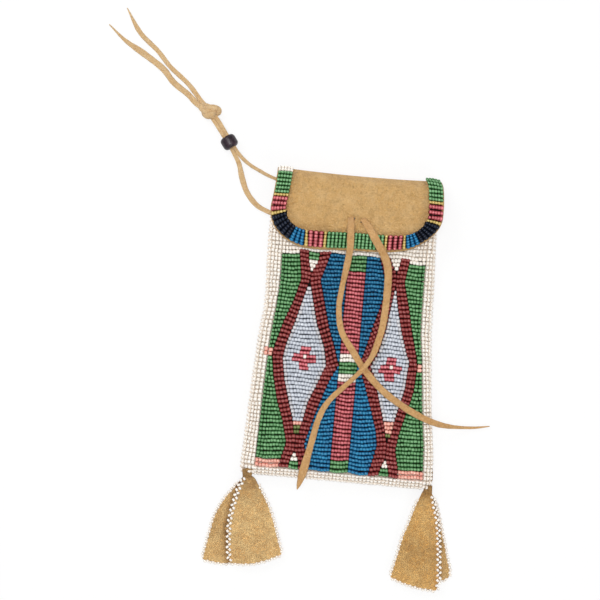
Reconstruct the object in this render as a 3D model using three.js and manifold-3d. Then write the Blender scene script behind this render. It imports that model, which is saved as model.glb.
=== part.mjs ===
// A beaded hide pouch with a fold-over flap: a strike-a-light bag.
// It lies on its back. +X points right, +Y up towards the flap's fold, +Z out of the beaded front.
// The origin is on the back panel's underside, in the middle of the pouch. Units are millimetres.
import * as THREE from 'three';
import { mergeVertices } from 'three/addons/utils/BufferGeometryUtils.js';
import Module from 'manifold-3d';

const wasm = await Module();
wasm.setup();

// Driving dimensions: the pouch
const HIDE = 1.2; // thickness of every hide panel
const GAP = 0.3; // clearance between pieces that touch
const POCKET = 5.0; // free height inside the pocket
const LEFT_TOP = -38.2; // the side edges lean outwards from the fold to the bottom seam
const LEFT_BOTTOM = -41.9;
const RIGHT_TOP = 35.4;
const RIGHT_BOTTOM = 43.8;
const BOTTOM = -69.3; // bottom seam
const HINGE_Y = 63.1; // line where the hide starts to curl over into the flap
const MOUTH_Y = 56.5; // upper edge of the front panel
const BORDER_LEFT = 5.6; // width of the white border at each side
const BORDER_RIGHT = 4.6;
const EDGE_RIM = 0.5; // bare hide outside the white border

// Driving dimensions: the beadwork
const ROW = 1.78; // pitch of the bead rows
const BEAD = 1.5; // height of a bead row
const GROOVE = 0.75; // height left in the groove between two rows
const BEAD_LENGTH = 1.4; // no row is shorter than one bead
const BOTTOM_ROWS = 2; // rows in the bottom border
const FIELD_BOTTOM = BOTTOM + EDGE_RIM + BOTTOM_ROWS * ROW; // first row above the bottom border
const FIELD_TOP = 33.4; // last row below the white top band
const BEAD_TOP = 51.2; // end of the white top band, under the flap

// Driving dimensions: the two diamond lattices and the stripe between them
const LANE = 5.0; // width of a dark red lane, across the pouch
const CROSSING_SPREAD = 4.1; // from a lattice's middle to its outer edge, where the lanes meet
const END_SPREAD = 7.0; // the same at the top and bottom rows
const CROSSING_TOP = 20.5;
const CROSSING_BOTTOM = -53.5;
const TIP_Y = -16.0; // level of the diamonds' side tips
const LEFT_LATTICE = -18.6; // middle lines of the lattices
const RIGHT_LATTICE = 21.5;
const STRIPE_SPACE = 0.45; // between a diamond's inner tip and the stripe
const SIDE_SPACE = 2.5; // between a diamond's outer tip and the white border
const STRIPE_LEFT = -2.2;
const STRIPE_RIGHT = 6.0;
const CAP_ROWS = [3, 4]; // rows in the stripe's green caps, bottom and top
const CENTRE_RISE = [-7.8, 4.6]; // ends of the stripe's white block, from the tips' level
const STRIPE_BREAKS = [
  FIELD_BOTTOM + CAP_ROWS[0] * ROW,
  TIP_Y + CENTRE_RISE[0],
  TIP_Y + CENTRE_RISE[1],
  FIELD_TOP - CAP_ROWS[1] * ROW,
]; // changes of colour up the stripe
const FILL_BOTTOM = CROSSING_BOTTOM + 11.1; // below this the diamond's tip is pink
const PINK_ROWS = 2;
const PINK_BAR_TOP = FIELD_BOTTOM + PINK_ROWS * ROW;
const CROSS_WIDTH = 10.2; // the small cross in each diamond
const CROSS_HEIGHT = 11.4;
const CROSS_ARM = 4.3;

// Driving dimensions: the flap
const FLAP_HALF = 38.4;
const FLAP_BOTTOM = 35.2;
const FLAP_CORNER = 17.0; // radius of its lower corners
const FLAP_RIM = 0.9; // bare hide outside the bead band
const BAND = 6.6; // width of the flap's bead band
const BLOCK_GAP = 1.4; // a single row of yellow beads fits between two colour blocks
const LEFT_BLOCKS = [5.6, 6.2, 9.6, 5.4, 6.2]; // lengths from the fold to the middle block
const RIGHT_BLOCKS = [2.8, 8.2, 9.6, 5.6, 7.0];

// Driving dimensions: thongs, bead and dangles
const THONG = 1.2; // thickness of every thong
const TIE_WIDTH = 3.4;
const HANGER_WIDTH = 2.5;
const SLOT_LENGTH = 6.4; // slots in the flap that the ties pass through
const SLOT_PLAY = 0.45;
const BEAD_RADIUS = 3.4;
const BEAD_SPAN = 5.4;
const BORE_RADIUS = 1.75;
const KNOT = [5.3, 3.1, 2.4]; // half sizes of the overhand knot
const KNOT_TURN = -0.06; // the knot lies across the pouch, not along its thong
const NECK = 2.0; // radius of a dangle's rounded neck
const EDGING = 2.0; // width of the white edging on a dangle
const EDGING_ROW = 2.4;

// Heights that follow from them
const FRONT_UNDER = HIDE + POCKET;
const FRONT_TOP = FRONT_UNDER + HIDE;
const SEAM_TOP = 2 * HIDE + GAP;
const BEADS_TOP = FRONT_TOP + GAP + BEAD;
const FLAP_UNDER = BEADS_TOP + THONG + 2 * GAP;
const FLAP_TOP = FLAP_UNDER + HIDE;
const HINGE_Z = FLAP_TOP / 2;
const FRONT_TIE_Z = BEADS_TOP + GAP + THONG / 2;
const OVER_TIE_Z = FRONT_TIE_Z + THONG + 2 * GAP;
const BAND_TIE_Z = FLAP_TOP + GAP + BEAD + GAP + THONG / 2;
const UNDER_TIE_Z = FLAP_UNDER - GAP - THONG / 2;
const LYING_Z = GAP + THONG / 2;

const COLOURS = {
  hide: 0xcba36b,
  thong: 0xc79a5c,
  white: 0xeee6da,
  green: 0x3f8a48,
  dark_red: 0x6e1f20,
  rose: 0xc04f5c,
  blue: 0x1f6590,
  pale: 0xc3cbd6,
  red: 0xb32430,
  pink: 0xeeb09d,
  navy: 0x15192a,
  bright_blue: 0x2176ac,
  black: 0x382c36,
};

const bag = new THREE.Group();

function material(slot) {
  const soft = slot === 'hide' || slot === 'thong';
  return new THREE.MeshStandardMaterial({ color: COLOURS[slot], roughness: soft ? 0.9 : 0.3, metalness: 0 });
}

function add(name, slot, geometry) {
  const mesh = new THREE.Mesh(geometry, material(slot));
  mesh.name = name;
  bag.add(mesh);
  return mesh;
}

// A closed surface from its corners and its triangles, given as lists of corner numbers.
function surface(corners, triangles) {
  const geometry = new THREE.BufferGeometry();
  geometry.setAttribute('position', new THREE.Float32BufferAttribute(corners.flat(), 3));
  geometry.setIndex(triangles.flat());
  return geometry;
}

function toSolid(geometry) {
  const bare = geometry.clone();
  bare.deleteAttribute('normal');
  bare.deleteAttribute('uv');
  const merged = mergeVertices(bare, 1e-4);
  return new wasm.Manifold(new wasm.Mesh({
    numProp: 3,
    vertProperties: new Float32Array(merged.attributes.position.array),
    triVerts: new Uint32Array(merged.index.array),
  }));
}

function fromSolid(solid) {
  const mesh = solid.getMesh();
  const geometry = new THREE.BufferGeometry();
  geometry.setAttribute('position', new THREE.BufferAttribute(mesh.vertProperties, 3));
  geometry.setIndex(new THREE.BufferAttribute(mesh.triVerts, 1));
  return geometry;
}

// A flat plate cut to a shape, from one height up by its thickness.
function plate(shape, bottom, thickness) {
  const geometry = new THREE.ExtrudeGeometry(shape, { depth: thickness, bevelEnabled: false, curveSegments: 10 });
  geometry.translate(0, 0, bottom);
  return geometry;
}

function outline(points) {
  return new THREE.Shape(points.map(([x, y]) => new THREE.Vector2(x, y)));
}

// A strip of bead rows. Each station has a left and a right foot, and how high the beads stand there.
// The underside only has corners where an edge turns.
function ridgedStrip(stations) {
  const corners = [];
  const triangles = [];
  const last = stations.length - 1;
  const point = (foot, rise) => corners.push([foot.x, foot.y, foot.z + rise]) - 1;
  const top = stations.map((s) => [point(s.left, s.rise), point(s.right, s.rise)]);
  const turns = (side, from, at) => {
    const before = stations[at][side].clone().sub(stations[from][side]);
    const after = stations[at + 1][side].clone().sub(stations[at][side]);
    return before.angleTo(after) > 1e-3;
  };
  const feet = [0];
  for (let i = 1; i < last; i += 1) {
    const from = feet[feet.length - 1];
    if (turns('left', from, i) || turns('right', from, i)) feet.push(i);
  }
  feet.push(last);
  const low = new Map(feet.map((i) => [i, [point(stations[i].left, 0), point(stations[i].right, 0)]]));
  for (let i = 0; i < last; i += 1) {
    triangles.push([top[i][0], top[i][1], top[i + 1][1]], [top[i][0], top[i + 1][1], top[i + 1][0]]);
  }
  for (let f = 0; f + 1 < feet.length; f += 1) {
    const [a, b] = [feet[f], feet[f + 1]];
    const [la, ra] = low.get(a);
    const [lb, rb] = low.get(b);
    for (let i = a; i < b; i += 1) {
      triangles.push([la, top[i][0], top[i + 1][0]], [ra, top[i + 1][1], top[i][1]]);
    }
    triangles.push([la, top[b][0], lb], [ra, rb, top[b][1]], [la, rb, ra], [la, lb, rb]);
  }
  const [l0, r0] = low.get(0);
  const [ln, rn] = low.get(last);
  triangles.push([l0, r0, top[0][1]], [l0, top[0][1], top[0][0]]);
  triangles.push([ln, top[last][1], rn], [ln, top[last][0], top[last][1]]);
  return surface(corners, triangles);
}

// The pouch's outline and the height of its front

const share = (y) => (HINGE_Y - y) / (HINGE_Y - BOTTOM);
const edgeLeft = (y) => LEFT_TOP + (LEFT_BOTTOM - LEFT_TOP) * share(y);
const edgeRight = (y) => RIGHT_TOP + (RIGHT_BOTTOM - RIGHT_TOP) * share(y);
const fieldLeft = (y) => edgeLeft(y) + BORDER_LEFT;
const fieldRight = (y) => edgeRight(y) - BORDER_RIGHT;

// The front is flat inside the white border and slopes down to the seams under it.
function frontTop(x, y) {
  const left = (fieldLeft(y) - x) / BORDER_LEFT;
  const right = (x - fieldRight(y)) / BORDER_RIGHT;
  const bottom = (FIELD_BOTTOM - y) / (FIELD_BOTTOM - BOTTOM);
  const fall = Math.min(1, Math.max(0, left, right, bottom));
  return FRONT_TOP - fall * (FRONT_TOP - SEAM_TOP);
}

function makePanels() {
  const panelTop = HINGE_Y - GAP;
  const back = [
    [LEFT_BOTTOM, BOTTOM],
    [RIGHT_BOTTOM, BOTTOM],
    [edgeRight(panelTop), panelTop],
    [edgeLeft(panelTop), panelTop],
  ];
  add('back_panel', 'hide', plate(outline(back), 0, HIDE));
  const plan = [
    [LEFT_BOTTOM, BOTTOM],
    [RIGHT_BOTTOM, BOTTOM],
    [edgeRight(MOUTH_Y), MOUTH_Y],
    [edgeLeft(MOUTH_Y), MOUTH_Y],
    [fieldLeft(FIELD_BOTTOM), FIELD_BOTTOM],
    [fieldRight(FIELD_BOTTOM), FIELD_BOTTOM],
    [fieldRight(MOUTH_Y), MOUTH_Y],
    [fieldLeft(MOUTH_Y), MOUTH_Y],
  ];
  const upper = plan.map(([x, y]) => [x, y, frontTop(x, y)]);
  const lower = plan.map(([x, y]) => [x, y, frontTop(x, y) - HIDE]);
  const quads = [[4, 5, 6, 7], [0, 1, 5, 4], [1, 2, 6, 5], [3, 0, 4, 7]];
  const rim = [0, 1, 2, 6, 7, 3];
  const triangles = [];
  for (const [a, b, c, d] of quads) {
    triangles.push([a, b, c], [a, c, d], [a + 8, c + 8, b + 8], [a + 8, d + 8, c + 8]);
  }
  rim.forEach((a, i) => {
    const b = rim[(i + 1) % rim.length];
    triangles.push([a, a + 8, b + 8], [a, b + 8, b]);
  });
  add('front_panel', 'hide', surface([...upper, ...lower], triangles));
}

// One colour field of the front: rows between two edges, from one level to another.
function fieldGeometry(left, right, low, high) {
  const width = (k) => right(FIELD_BOTTOM + k * ROW) - left(FIELD_BOTTOM + k * ROW) - GAP;
  let first = Math.round((low - FIELD_BOTTOM) / ROW);
  let end = Math.round((high - FIELD_BOTTOM) / ROW);
  while (first < end - 1 && Math.min(width(first), width(first + 0.5)) < BEAD_LENGTH) first += 1;
  while (end > first + 1 && Math.min(width(end), width(end - 0.5)) < BEAD_LENGTH) end -= 1;
  const stations = [];
  for (let k = 2 * first; k <= 2 * end; k += 1) {
    const level = FIELD_BOTTOM + (k / 2) * ROW;
    const inset = k === 2 * first ? GAP / 2 : k === 2 * end ? -GAP / 2 : 0;
    const y = level + inset;
    const foot = (x) => new THREE.Vector3(x, y, frontTop(x, y) + GAP);
    stations.push({
      left: foot(left(y) + GAP / 2),
      right: foot(right(y) - GAP / 2),
      rise: k % 2 === 0 ? GROOVE : BEAD,
    });
  }
  return ridgedStrip(stations);
}

function field(name, slot, left, right, low, high) {
  add(name, slot, fieldGeometry(left, right, low, high));
}

function makeBorder() {
  const lowest = FIELD_BOTTOM - BOTTOM_ROWS * ROW;
  const drop = (y) => Math.max(0, (FIELD_BOTTOM - y) / (FIELD_BOTTOM - BOTTOM));
  const hipLeft = (y) => fieldLeft(y) - drop(y) * BORDER_LEFT;
  const hipRight = (y) => fieldRight(y) + drop(y) * BORDER_RIGHT;
  field('border_left', 'white', (y) => edgeLeft(y) + EDGE_RIM, hipLeft, lowest, BEAD_TOP);
  field('border_right', 'white', hipRight, (y) => edgeRight(y) - EDGE_RIM, lowest, BEAD_TOP);
  field('border_bottom', 'white', hipLeft, hipRight, lowest, FIELD_BOTTOM);
  field('border_top', 'white', fieldLeft, fieldRight, FIELD_TOP, BEAD_TOP);
}

// How far a lattice's outer edge lies from its middle line, at a level, for a side tip of that reach.
function spread(y, reach) {
  const levels = [FIELD_BOTTOM, CROSSING_BOTTOM, TIP_Y, CROSSING_TOP, FIELD_TOP];
  const spreads = [END_SPREAD, CROSSING_SPREAD, reach, CROSSING_SPREAD, END_SPREAD];
  let i = 0;
  while (i < levels.length - 2 && y > levels[i + 1]) i += 1;
  return THREE.MathUtils.mapLinear(y, levels[i], levels[i + 1], spreads[i], spreads[i + 1]);
}

function latticeEdges(middle, [leftReach, rightReach]) {
  return {
    leftOuter: (y) => middle - spread(y, leftReach),
    leftInner: (y) => middle - Math.max(0, spread(y, leftReach) - LANE),
    rightInner: (y) => middle + Math.max(0, spread(y, rightReach) - LANE),
    rightOuter: (y) => middle + spread(y, rightReach),
    // the cross sits between the lattice's middle line and the middle of the diamond's width
    crossAt: middle + (rightReach - leftReach) / 4,
  };
}

function crossPrism(centre, grow) {
  const [w, h, arm] = [CROSS_WIDTH / 2 + grow, CROSS_HEIGHT / 2 + grow, CROSS_ARM / 2 + grow];
  const shape = outline([
    [-arm, -h], [arm, -h], [arm, -arm], [w, -arm], [w, arm], [arm, arm],
    [arm, h], [-arm, h], [-arm, arm], [-w, arm], [-w, -arm], [-arm, -arm],
  ]);
  const prism = plate(shape, FRONT_TOP, 2 * BEAD + GAP);
  prism.translate(centre, TIP_Y, 0);
  return toSolid(prism);
}

function makeLattice(side, edges) {
  const { leftOuter, leftInner, rightInner, rightOuter, crossAt } = edges;
  field(`${side}_lattice_lane_a`, 'dark_red', leftOuter, leftInner, FIELD_BOTTOM, FIELD_TOP);
  field(`${side}_lattice_lane_b`, 'dark_red', rightInner, rightOuter, FIELD_BOTTOM, FIELD_TOP);
  const fill = toSolid(fieldGeometry(leftInner, rightInner, FILL_BOTTOM, CROSSING_TOP));
  add(`${side}_diamond_fill`, 'pale', fromSolid(fill.subtract(crossPrism(crossAt, GAP))));
  add(`${side}_diamond_cross`, 'red', fromSolid(fill.intersect(crossPrism(crossAt, 0))));
  field(`${side}_diamond_tip`, 'pink', leftInner, rightInner, CROSSING_BOTTOM, FILL_BOTTOM);
  field(`${side}_top_gusset`, 'green', leftInner, rightInner, CROSSING_TOP, FIELD_TOP);
  field(`${side}_bottom_gusset`, 'green', leftInner, rightInner, FIELD_BOTTOM, CROSSING_BOTTOM);
}

function makeFront() {
  makeBorder();
  const left = latticeEdges(LEFT_LATTICE, [
    LEFT_LATTICE - fieldLeft(TIP_Y) - SIDE_SPACE,
    STRIPE_LEFT - STRIPE_SPACE - LEFT_LATTICE,
  ]);
  const right = latticeEdges(RIGHT_LATTICE, [
    RIGHT_LATTICE - STRIPE_RIGHT - STRIPE_SPACE,
    fieldRight(TIP_Y) - SIDE_SPACE - RIGHT_LATTICE,
  ]);
  makeLattice('left', left);
  makeLattice('right', right);
  field('left_green_upper', 'green', fieldLeft, left.leftOuter, TIP_Y, FIELD_TOP);
  field('left_green_lower', 'green', fieldLeft, left.leftOuter, PINK_BAR_TOP, TIP_Y);
  field('left_pink_bar', 'pink', fieldLeft, left.leftOuter, FIELD_BOTTOM, PINK_BAR_TOP);
  field('right_green_upper', 'green', right.rightOuter, fieldRight, TIP_Y, FIELD_TOP);
  field('right_green_lower', 'green', right.rightOuter, fieldRight, PINK_BAR_TOP, TIP_Y);
  field('right_pink_bar', 'pink', right.rightOuter, fieldRight, FIELD_BOTTOM, PINK_BAR_TOP);
  const stripeLeft = () => STRIPE_LEFT;
  const stripeRight = () => STRIPE_RIGHT;
  field('left_blue_upper', 'blue', left.rightOuter, stripeLeft, TIP_Y, FIELD_TOP);
  field('left_blue_lower', 'blue', left.rightOuter, stripeLeft, FIELD_BOTTOM, TIP_Y);
  field('right_blue_upper', 'blue', stripeRight, right.leftOuter, TIP_Y, FIELD_TOP);
  field('right_blue_lower', 'blue', stripeRight, right.leftOuter, FIELD_BOTTOM, TIP_Y);
  const blocks = [
    ['stripe_bottom_cap', 'green'],
    ['stripe_rose_lower', 'rose'],
    ['stripe_centre', 'white'],
    ['stripe_rose_upper', 'rose'],
    ['stripe_top_cap', 'green'],
  ];
  const levels = [FIELD_BOTTOM, ...STRIPE_BREAKS, FIELD_TOP];
  blocks.forEach(([name, slot], i) => {
    field(name, slot, stripeLeft, stripeRight, levels[i], levels[i + 1]);
  });
}

// The fold-over flap

const TIE_HOLES = {
  left: { at: [-2.85, 48.6], along: [0.05, -1] },
  right: { at: [3.4, 48.1], along: [0.58, -0.815] },
};

function slot({ at, along }) {
  const [half, side] = [SLOT_LENGTH / 2, TIE_WIDTH / 2 + SLOT_PLAY];
  const d = new THREE.Vector2(...along).normalize();
  const n = new THREE.Vector2(-d.y, d.x);
  const corner = (a, b) => new THREE.Vector2(...at).addScaledVector(d, a * half).addScaledVector(n, b * side);
  return new THREE.Path([corner(-1, -1), corner(1, -1), corner(1, 1), corner(-1, 1)]);
}

function roundedFlap(inset) {
  const half = FLAP_HALF - inset;
  const radius = FLAP_CORNER - inset;
  const foot = FLAP_BOTTOM + inset;
  const path = new THREE.Path();
  path.moveTo(-half, HINGE_Y - GAP);
  path.lineTo(-half, foot + radius);
  path.absarc(-half + radius, foot + radius, radius, Math.PI, 1.5 * Math.PI);
  path.lineTo(half - radius, foot);
  path.absarc(half - radius, foot + radius, radius, 1.5 * Math.PI, 2 * Math.PI);
  path.lineTo(half, HINGE_Y - GAP);
  return path;
}

// Rows across a band that follows a path, from one length along it to another.
function bandGeometry(path, width, from, to, pitch, base) {
  const total = path.getLength();
  const rows = Math.max(1, Math.round((to - from) / pitch));
  const stations = [];
  for (let k = 0; k <= 2 * rows; k += 1) {
    const u = (from + ((to - from) * k) / (2 * rows)) / total;
    const p = path.getPointAt(u);
    const t = path.getTangentAt(u);
    const foot = (side) => new THREE.Vector3(p.x - t.y * side, p.y + t.x * side, base);
    stations.push({ left: foot(width / 2), right: foot(-width / 2), rise: k % 2 === 0 ? GROOVE : BEAD });
  }
  return ridgedStrip(stations);
}

function makeFlap() {
  const shape = new THREE.Shape(roundedFlap(0).getPoints(6));
  shape.holes = [slot(TIE_HOLES.left), slot(TIE_HOLES.right)];
  add('flap_panel', 'hide', plate(shape, FLAP_UNDER, HIDE));
  const band = roundedFlap(FLAP_RIM + BAND / 2);
  const slots = ['green', 'rose', 'navy', 'bright_blue', 'rose'];
  const names = ['green', 'upper_rose', 'navy', 'blue', 'lower_rose'];
  const base = FLAP_TOP + GAP;
  let start = 0;
  LEFT_BLOCKS.forEach((length, i) => {
    add(`flap_left_${names[i]}`, slots[i], bandGeometry(band, BAND, start, start + length, ROW, base));
    start += length + BLOCK_GAP;
  });
  let end = band.getLength();
  RIGHT_BLOCKS.forEach((length, i) => {
    add(`flap_right_${names[i]}`, slots[i], bandGeometry(band, BAND, end - length, end, ROW, base));
    end -= length + BLOCK_GAP;
  });
  add('flap_middle_green', 'green', bandGeometry(band, BAND, start, end, ROW, base));
}

// The half-round curl where the back panel turns over into the flap.
function makeFold() {
  const section = new THREE.Shape();
  section.absarc(0, 0, HINGE_Z, -Math.PI / 2, Math.PI / 2);
  section.absarc(0, 0, HINGE_Z - HIDE, Math.PI / 2, -Math.PI / 2, true);
  const depth = 2 * FLAP_HALF;
  const geometry = new THREE.ExtrudeGeometry(section, { depth, bevelEnabled: false, curveSegments: 10 });
  const fold = add('flap_fold', 'hide', geometry);
  // a third of a turn about the diagonal takes X to Y, Y to Z and the depth to X
  fold.quaternion.setFromAxisAngle(new THREE.Vector3(1, 1, 1).normalize(), (2 * Math.PI) / 3);
  fold.position.set(-FLAP_HALF, HINGE_Y, HINGE_Z);
}

// Thongs

// A thong lies flat: its section keeps its thin side upwards all along the curve.
class FlatCurve extends THREE.CatmullRomCurve3 {
  computeFrenetFrames(segments) {
    const frames = { tangents: [], normals: [], binormals: [] };
    for (let i = 0; i <= segments; i += 1) {
      const tangent = this.getTangentAt(i / segments);
      const side = new THREE.Vector3().crossVectors(tangent, new THREE.Vector3(0, 0, 1)).normalize();
      frames.tangents.push(tangent);
      frames.normals.push(new THREE.Vector3().crossVectors(side, tangent));
      frames.binormals.push(side);
    }
    return frames;
  }
}

function thongGeometry(points, width, steps) {
  const curve = new FlatCurve(points.map((p) => new THREE.Vector3(...p)));
  const [t, w] = [THONG / 2, width / 2];
  const cut = THONG * 0.3;
  const section = outline([
    [-t, -w + cut], [-t + cut, -w], [t - cut, -w], [t, -w + cut],
    [t, w - cut], [t - cut, w], [-t + cut, w], [-t, w - cut],
  ]);
  return new THREE.ExtrudeGeometry(section, { steps, bevelEnabled: false, extrudePath: curve });
}

// Both ties come up through the flap, pass over its bead band and lie on the front.
const LEFT_TIE = [
  [-3.0, 52.2, UNDER_TIE_Z],
  [-2.95, 51.2, UNDER_TIE_Z + 0.1],
  [-2.85, 48.6, FLAP_UNDER + 0.6],
  [-2.7, 45.9, FLAP_TOP + 1.2],
  [-2.5, 43.4, BAND_TIE_Z + 0.1],
  [-2.35, 39.3, BAND_TIE_Z + 0.1],
  [-2.3, 35.8, BAND_TIE_Z],
  [-2.9, 31.0, FRONT_TIE_Z + 2.6],
  [-3.8, 25.0, FRONT_TIE_Z + 0.5],
  [-4.8, 17.0, FRONT_TIE_Z + 0.1],
  [-5.4, 8.3, FRONT_TIE_Z],
  [-3.4, -2.0, FRONT_TIE_Z],
  [3.1, -10.8, FRONT_TIE_Z],
  [8.7, -17.5, FRONT_TIE_Z],
  [18.6, -27.0, FRONT_TIE_Z],
  [27.0, -32.4, FRONT_TIE_Z],
  [34.2, -36.0, FRONT_TIE_Z + 0.3],
  [39.4, -38.1, FRONT_TIE_Z + 0.2],
  [44.6, -39.6, 7.8],
  [50.1, -40.4, 4.0],
  [56.4, -40.5, 1.7],
  [62.0, -40.1, LYING_Z + 0.1],
  [67.6, -39.3, LYING_Z],
];
const RIGHT_TIE = [
  [1.2, 51.2, UNDER_TIE_Z],
  [1.8, 50.4, UNDER_TIE_Z + 0.1],
  [3.4, 48.1, FLAP_UNDER + 0.6],
  [5.0, 45.8, FLAP_TOP + 1.2],
  [6.7, 43.4, BAND_TIE_Z + 0.1],
  [9.4, 39.4, BAND_TIE_Z + 0.1],
  [12.0, 35.6, BAND_TIE_Z],
  [14.4, 31.6, FRONT_TIE_Z + 2.9],
  [15.8, 27.2, FRONT_TIE_Z + 0.9],
  [16.3, 21.0, FRONT_TIE_Z + 0.1],
  [16.2, 10.3, FRONT_TIE_Z],
  [15.6, 2.0, FRONT_TIE_Z],
  [14.0, -6.2, FRONT_TIE_Z + 0.3],
  [11.9, -12.2, OVER_TIE_Z - 0.3],
  [8.7, -17.5, OVER_TIE_Z],
  [4.7, -22.3, OVER_TIE_Z - 0.3],
  [0.1, -27.3, FRONT_TIE_Z + 0.3],
  [-4.2, -32.0, FRONT_TIE_Z],
  [-7.2, -36.6, FRONT_TIE_Z],
  [-9.0, -43.0, FRONT_TIE_Z],
  [-10.2, -50.0, FRONT_TIE_Z],
  [-12.3, -61.0, FRONT_TIE_Z + 0.1],
  [-13.9, -68.2, FRONT_TIE_Z - 0.6],
  [-15.8, -74.6, FRONT_TIE_Z - 2.0],
];

// The hanger: two strands from the left edge, doubled through the bead, knotted, with two tails.
const BEAD_AT = new THREE.Vector3(-60.4, 78.6, BEAD_RADIUS);
const KNOT_AT = new THREE.Vector3(-70.2, 91.8, KNOT[2]);
const STEM_START = new THREE.Vector3(-55.9, 72.4, BEAD_RADIUS);
const UPPER_STRAND = [
  [-FLAP_HALF - GAP - 0.3, 64.2, LYING_Z],
  [-45.1, 66.8, LYING_Z],
  [-50.3, 69.2, LYING_Z + 0.6],
  [-54.0, 71.2, BEAD_RADIUS - 0.5],
  [-56.4, 73.2, BEAD_RADIUS],
];
const LOWER_STRAND = [
  [edgeLeft(48.6) - GAP - 0.3, 48.6, LYING_Z],
  [-45.5, 51.3, LYING_Z],
  [-50.5, 56.6, LYING_Z],
  [-53.3, 62.7, LYING_Z + 0.4],
  [-55.2, 69.0, BEAD_RADIUS - 0.5],
  [-56.4, 73.2, BEAD_RADIUS],
];
const UPPER_TAIL = [
  [-71.5, 93.4, KNOT[2]],
  [-74.4, 96.4, 1.6],
  [-81.3, 103.1, LYING_Z],
  [-90.6, 110.6, LYING_Z],
  [-96.6, 117.0, LYING_Z],
  [-105.4, 124.6, LYING_Z],
  [-111.7, 134.0, LYING_Z],
];
const LOWER_TAIL = [
  [-72.0, 92.6, KNOT[2]],
  [-76.3, 94.8, 1.6],
  [-81.2, 98.6, LYING_Z],
  [-88.4, 103.6, LYING_Z],
  [-93.4, 109.0, LYING_Z],
  [-102.8, 115.2, LYING_Z],
  [-112.0, 120.6, LYING_Z],
  [-118.9, 126.1, LYING_Z],
];

function makeTies() {
  add('left_tie', 'thong', thongGeometry(LEFT_TIE, TIE_WIDTH, 36));
  add('right_tie', 'thong', thongGeometry(RIGHT_TIE, TIE_WIDTH, 36));
}

function makeHanger() {
  // the stem keeps the bead's height, so that the bead can slide along it
  const stemEnd = KNOT_AT.clone().setZ(BEAD_RADIUS);
  const stemPoints = [STEM_START, STEM_START.clone().lerp(stemEnd, 0.5), stemEnd];
  const knot = new THREE.SphereGeometry(1, 12, 8);
  knot.scale(...KNOT);
  knot.rotateZ(KNOT_TURN);
  knot.translate(...KNOT_AT.toArray());
  const pieces = [
    thongGeometry(UPPER_STRAND, HANGER_WIDTH, 8),
    thongGeometry(LOWER_STRAND, HANGER_WIDTH, 10),
    thongGeometry(stemPoints.map((p) => p.toArray()), HANGER_WIDTH, 4),
    thongGeometry(UPPER_TAIL, HANGER_WIDTH, 10),
    thongGeometry(LOWER_TAIL, HANGER_WIDTH, 10),
    knot,
  ];
  const joined = pieces.map(toSolid).reduce((whole, piece) => whole.add(piece));
  add('hanger_thong', 'thong', fromSolid(joined));
}

function makeThongBead() {
  const [half, round] = [BEAD_SPAN / 2, BEAD_RADIUS * 0.78];
  const profile = [
    [BORE_RADIUS, -half], [round, -half], [BEAD_RADIUS, -half * 0.45],
    [BEAD_RADIUS, half * 0.45], [round, half], [BORE_RADIUS, half], [BORE_RADIUS, -half],
  ];
  const bead = add('thong_bead', 'black', new THREE.LatheGeometry(profile.map((p) => new THREE.Vector2(...p)), 20));
  const way = KNOT_AT.clone().sub(STEM_START).setZ(0).normalize();
  bead.quaternion.setFromUnitVectors(new THREE.Vector3(0, 1, 0), way);
  bead.position.copy(BEAD_AT);
}

// Dangles: two leaves of hide each, with a beaded edge where the front leaf lies on the back one.
const NECK_Y = BOTTOM - GAP - NECK;
const DANGLES = {
  left: {
    neck: [-38.9, NECK_Y],
    front: [
      [-33.0, -75.7], [-28.1, -83.9], [-25.5, -89.9], [-20.2, -105.0], [-28.6, -108.8],
      [-37.5, -110.3], [-43.7, -110.2], [-44.7, -96.8], [-43.6, -82.9],
    ],
    back: [
      [-35.0, -85.0], [-36.0, -109.0], [-45.4, -110.5], [-50.6, -110.3], [-55.4, -109.6],
      [-53.2, -96.9], [-50.7, -87.3], [-44.9, -77.8],
    ],
    edge: [[-41.6, -75.2], [-44.4, -87.4], [-44.9, -98.0], [-43.4, -109.0]],
  },
  right: {
    neck: [42.4, NECK_Y],
    front: [
      [46.8, -81.0], [49.0, -95.0], [50.4, -108.0], [50.7, -115.1], [44.8, -114.5], [37.9, -113.3],
      [29.8, -111.0], [32.7, -97.6], [36.1, -85.2], [39.0, -75.2],
    ],
    back: [
      [48.9, -80.7], [52.7, -93.5], [56.2, -105.2], [56.3, -109.0], [52.7, -110.4], [44.0, -111.0],
      [41.0, -90.0],
    ],
    edge: [[46.2, -75.2], [49.8, -90.7], [51.3, -103.0], [51.7, -113.0]],
  },
};

// A leaf hangs from a rounded neck, so that it can swing about the neck's middle.
function leaf(neck, points) {
  const shape = new THREE.Shape();
  shape.absarc(neck[0], neck[1], NECK, Math.PI, 0, true);
  points.forEach(([x, y]) => shape.lineTo(x, y));
  shape.closePath();
  return shape;
}

function makeDangle(side, { neck, front, back, edge }) {
  const layer = HIDE + GAP;
  add(`${side}_dangle_back_leaf`, 'hide', plate(leaf(neck, back), 0, HIDE));
  add(`${side}_dangle_front_leaf`, 'hide', plate(leaf(neck, front), layer, HIDE));
  const path = new THREE.SplineCurve(edge.map(([x, y]) => new THREE.Vector2(x, y)));
  const edging = bandGeometry(path, EDGING, 0, path.getLength(), EDGING_ROW, 2 * layer);
  add(`${side}_dangle_edging`, 'white', edging);
}

makePanels();
makeFront();
makeFlap();
makeFold();
makeTies();
makeHanger();
makeThongBead();
Object.entries(DANGLES).forEach(([side, sizes]) => makeDangle(side, sizes));

export default bag;
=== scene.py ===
"""The looks of a strike-a-light bag: a beaded hide pouch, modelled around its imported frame."""

import math
import random
from collections import namedtuple

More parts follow.
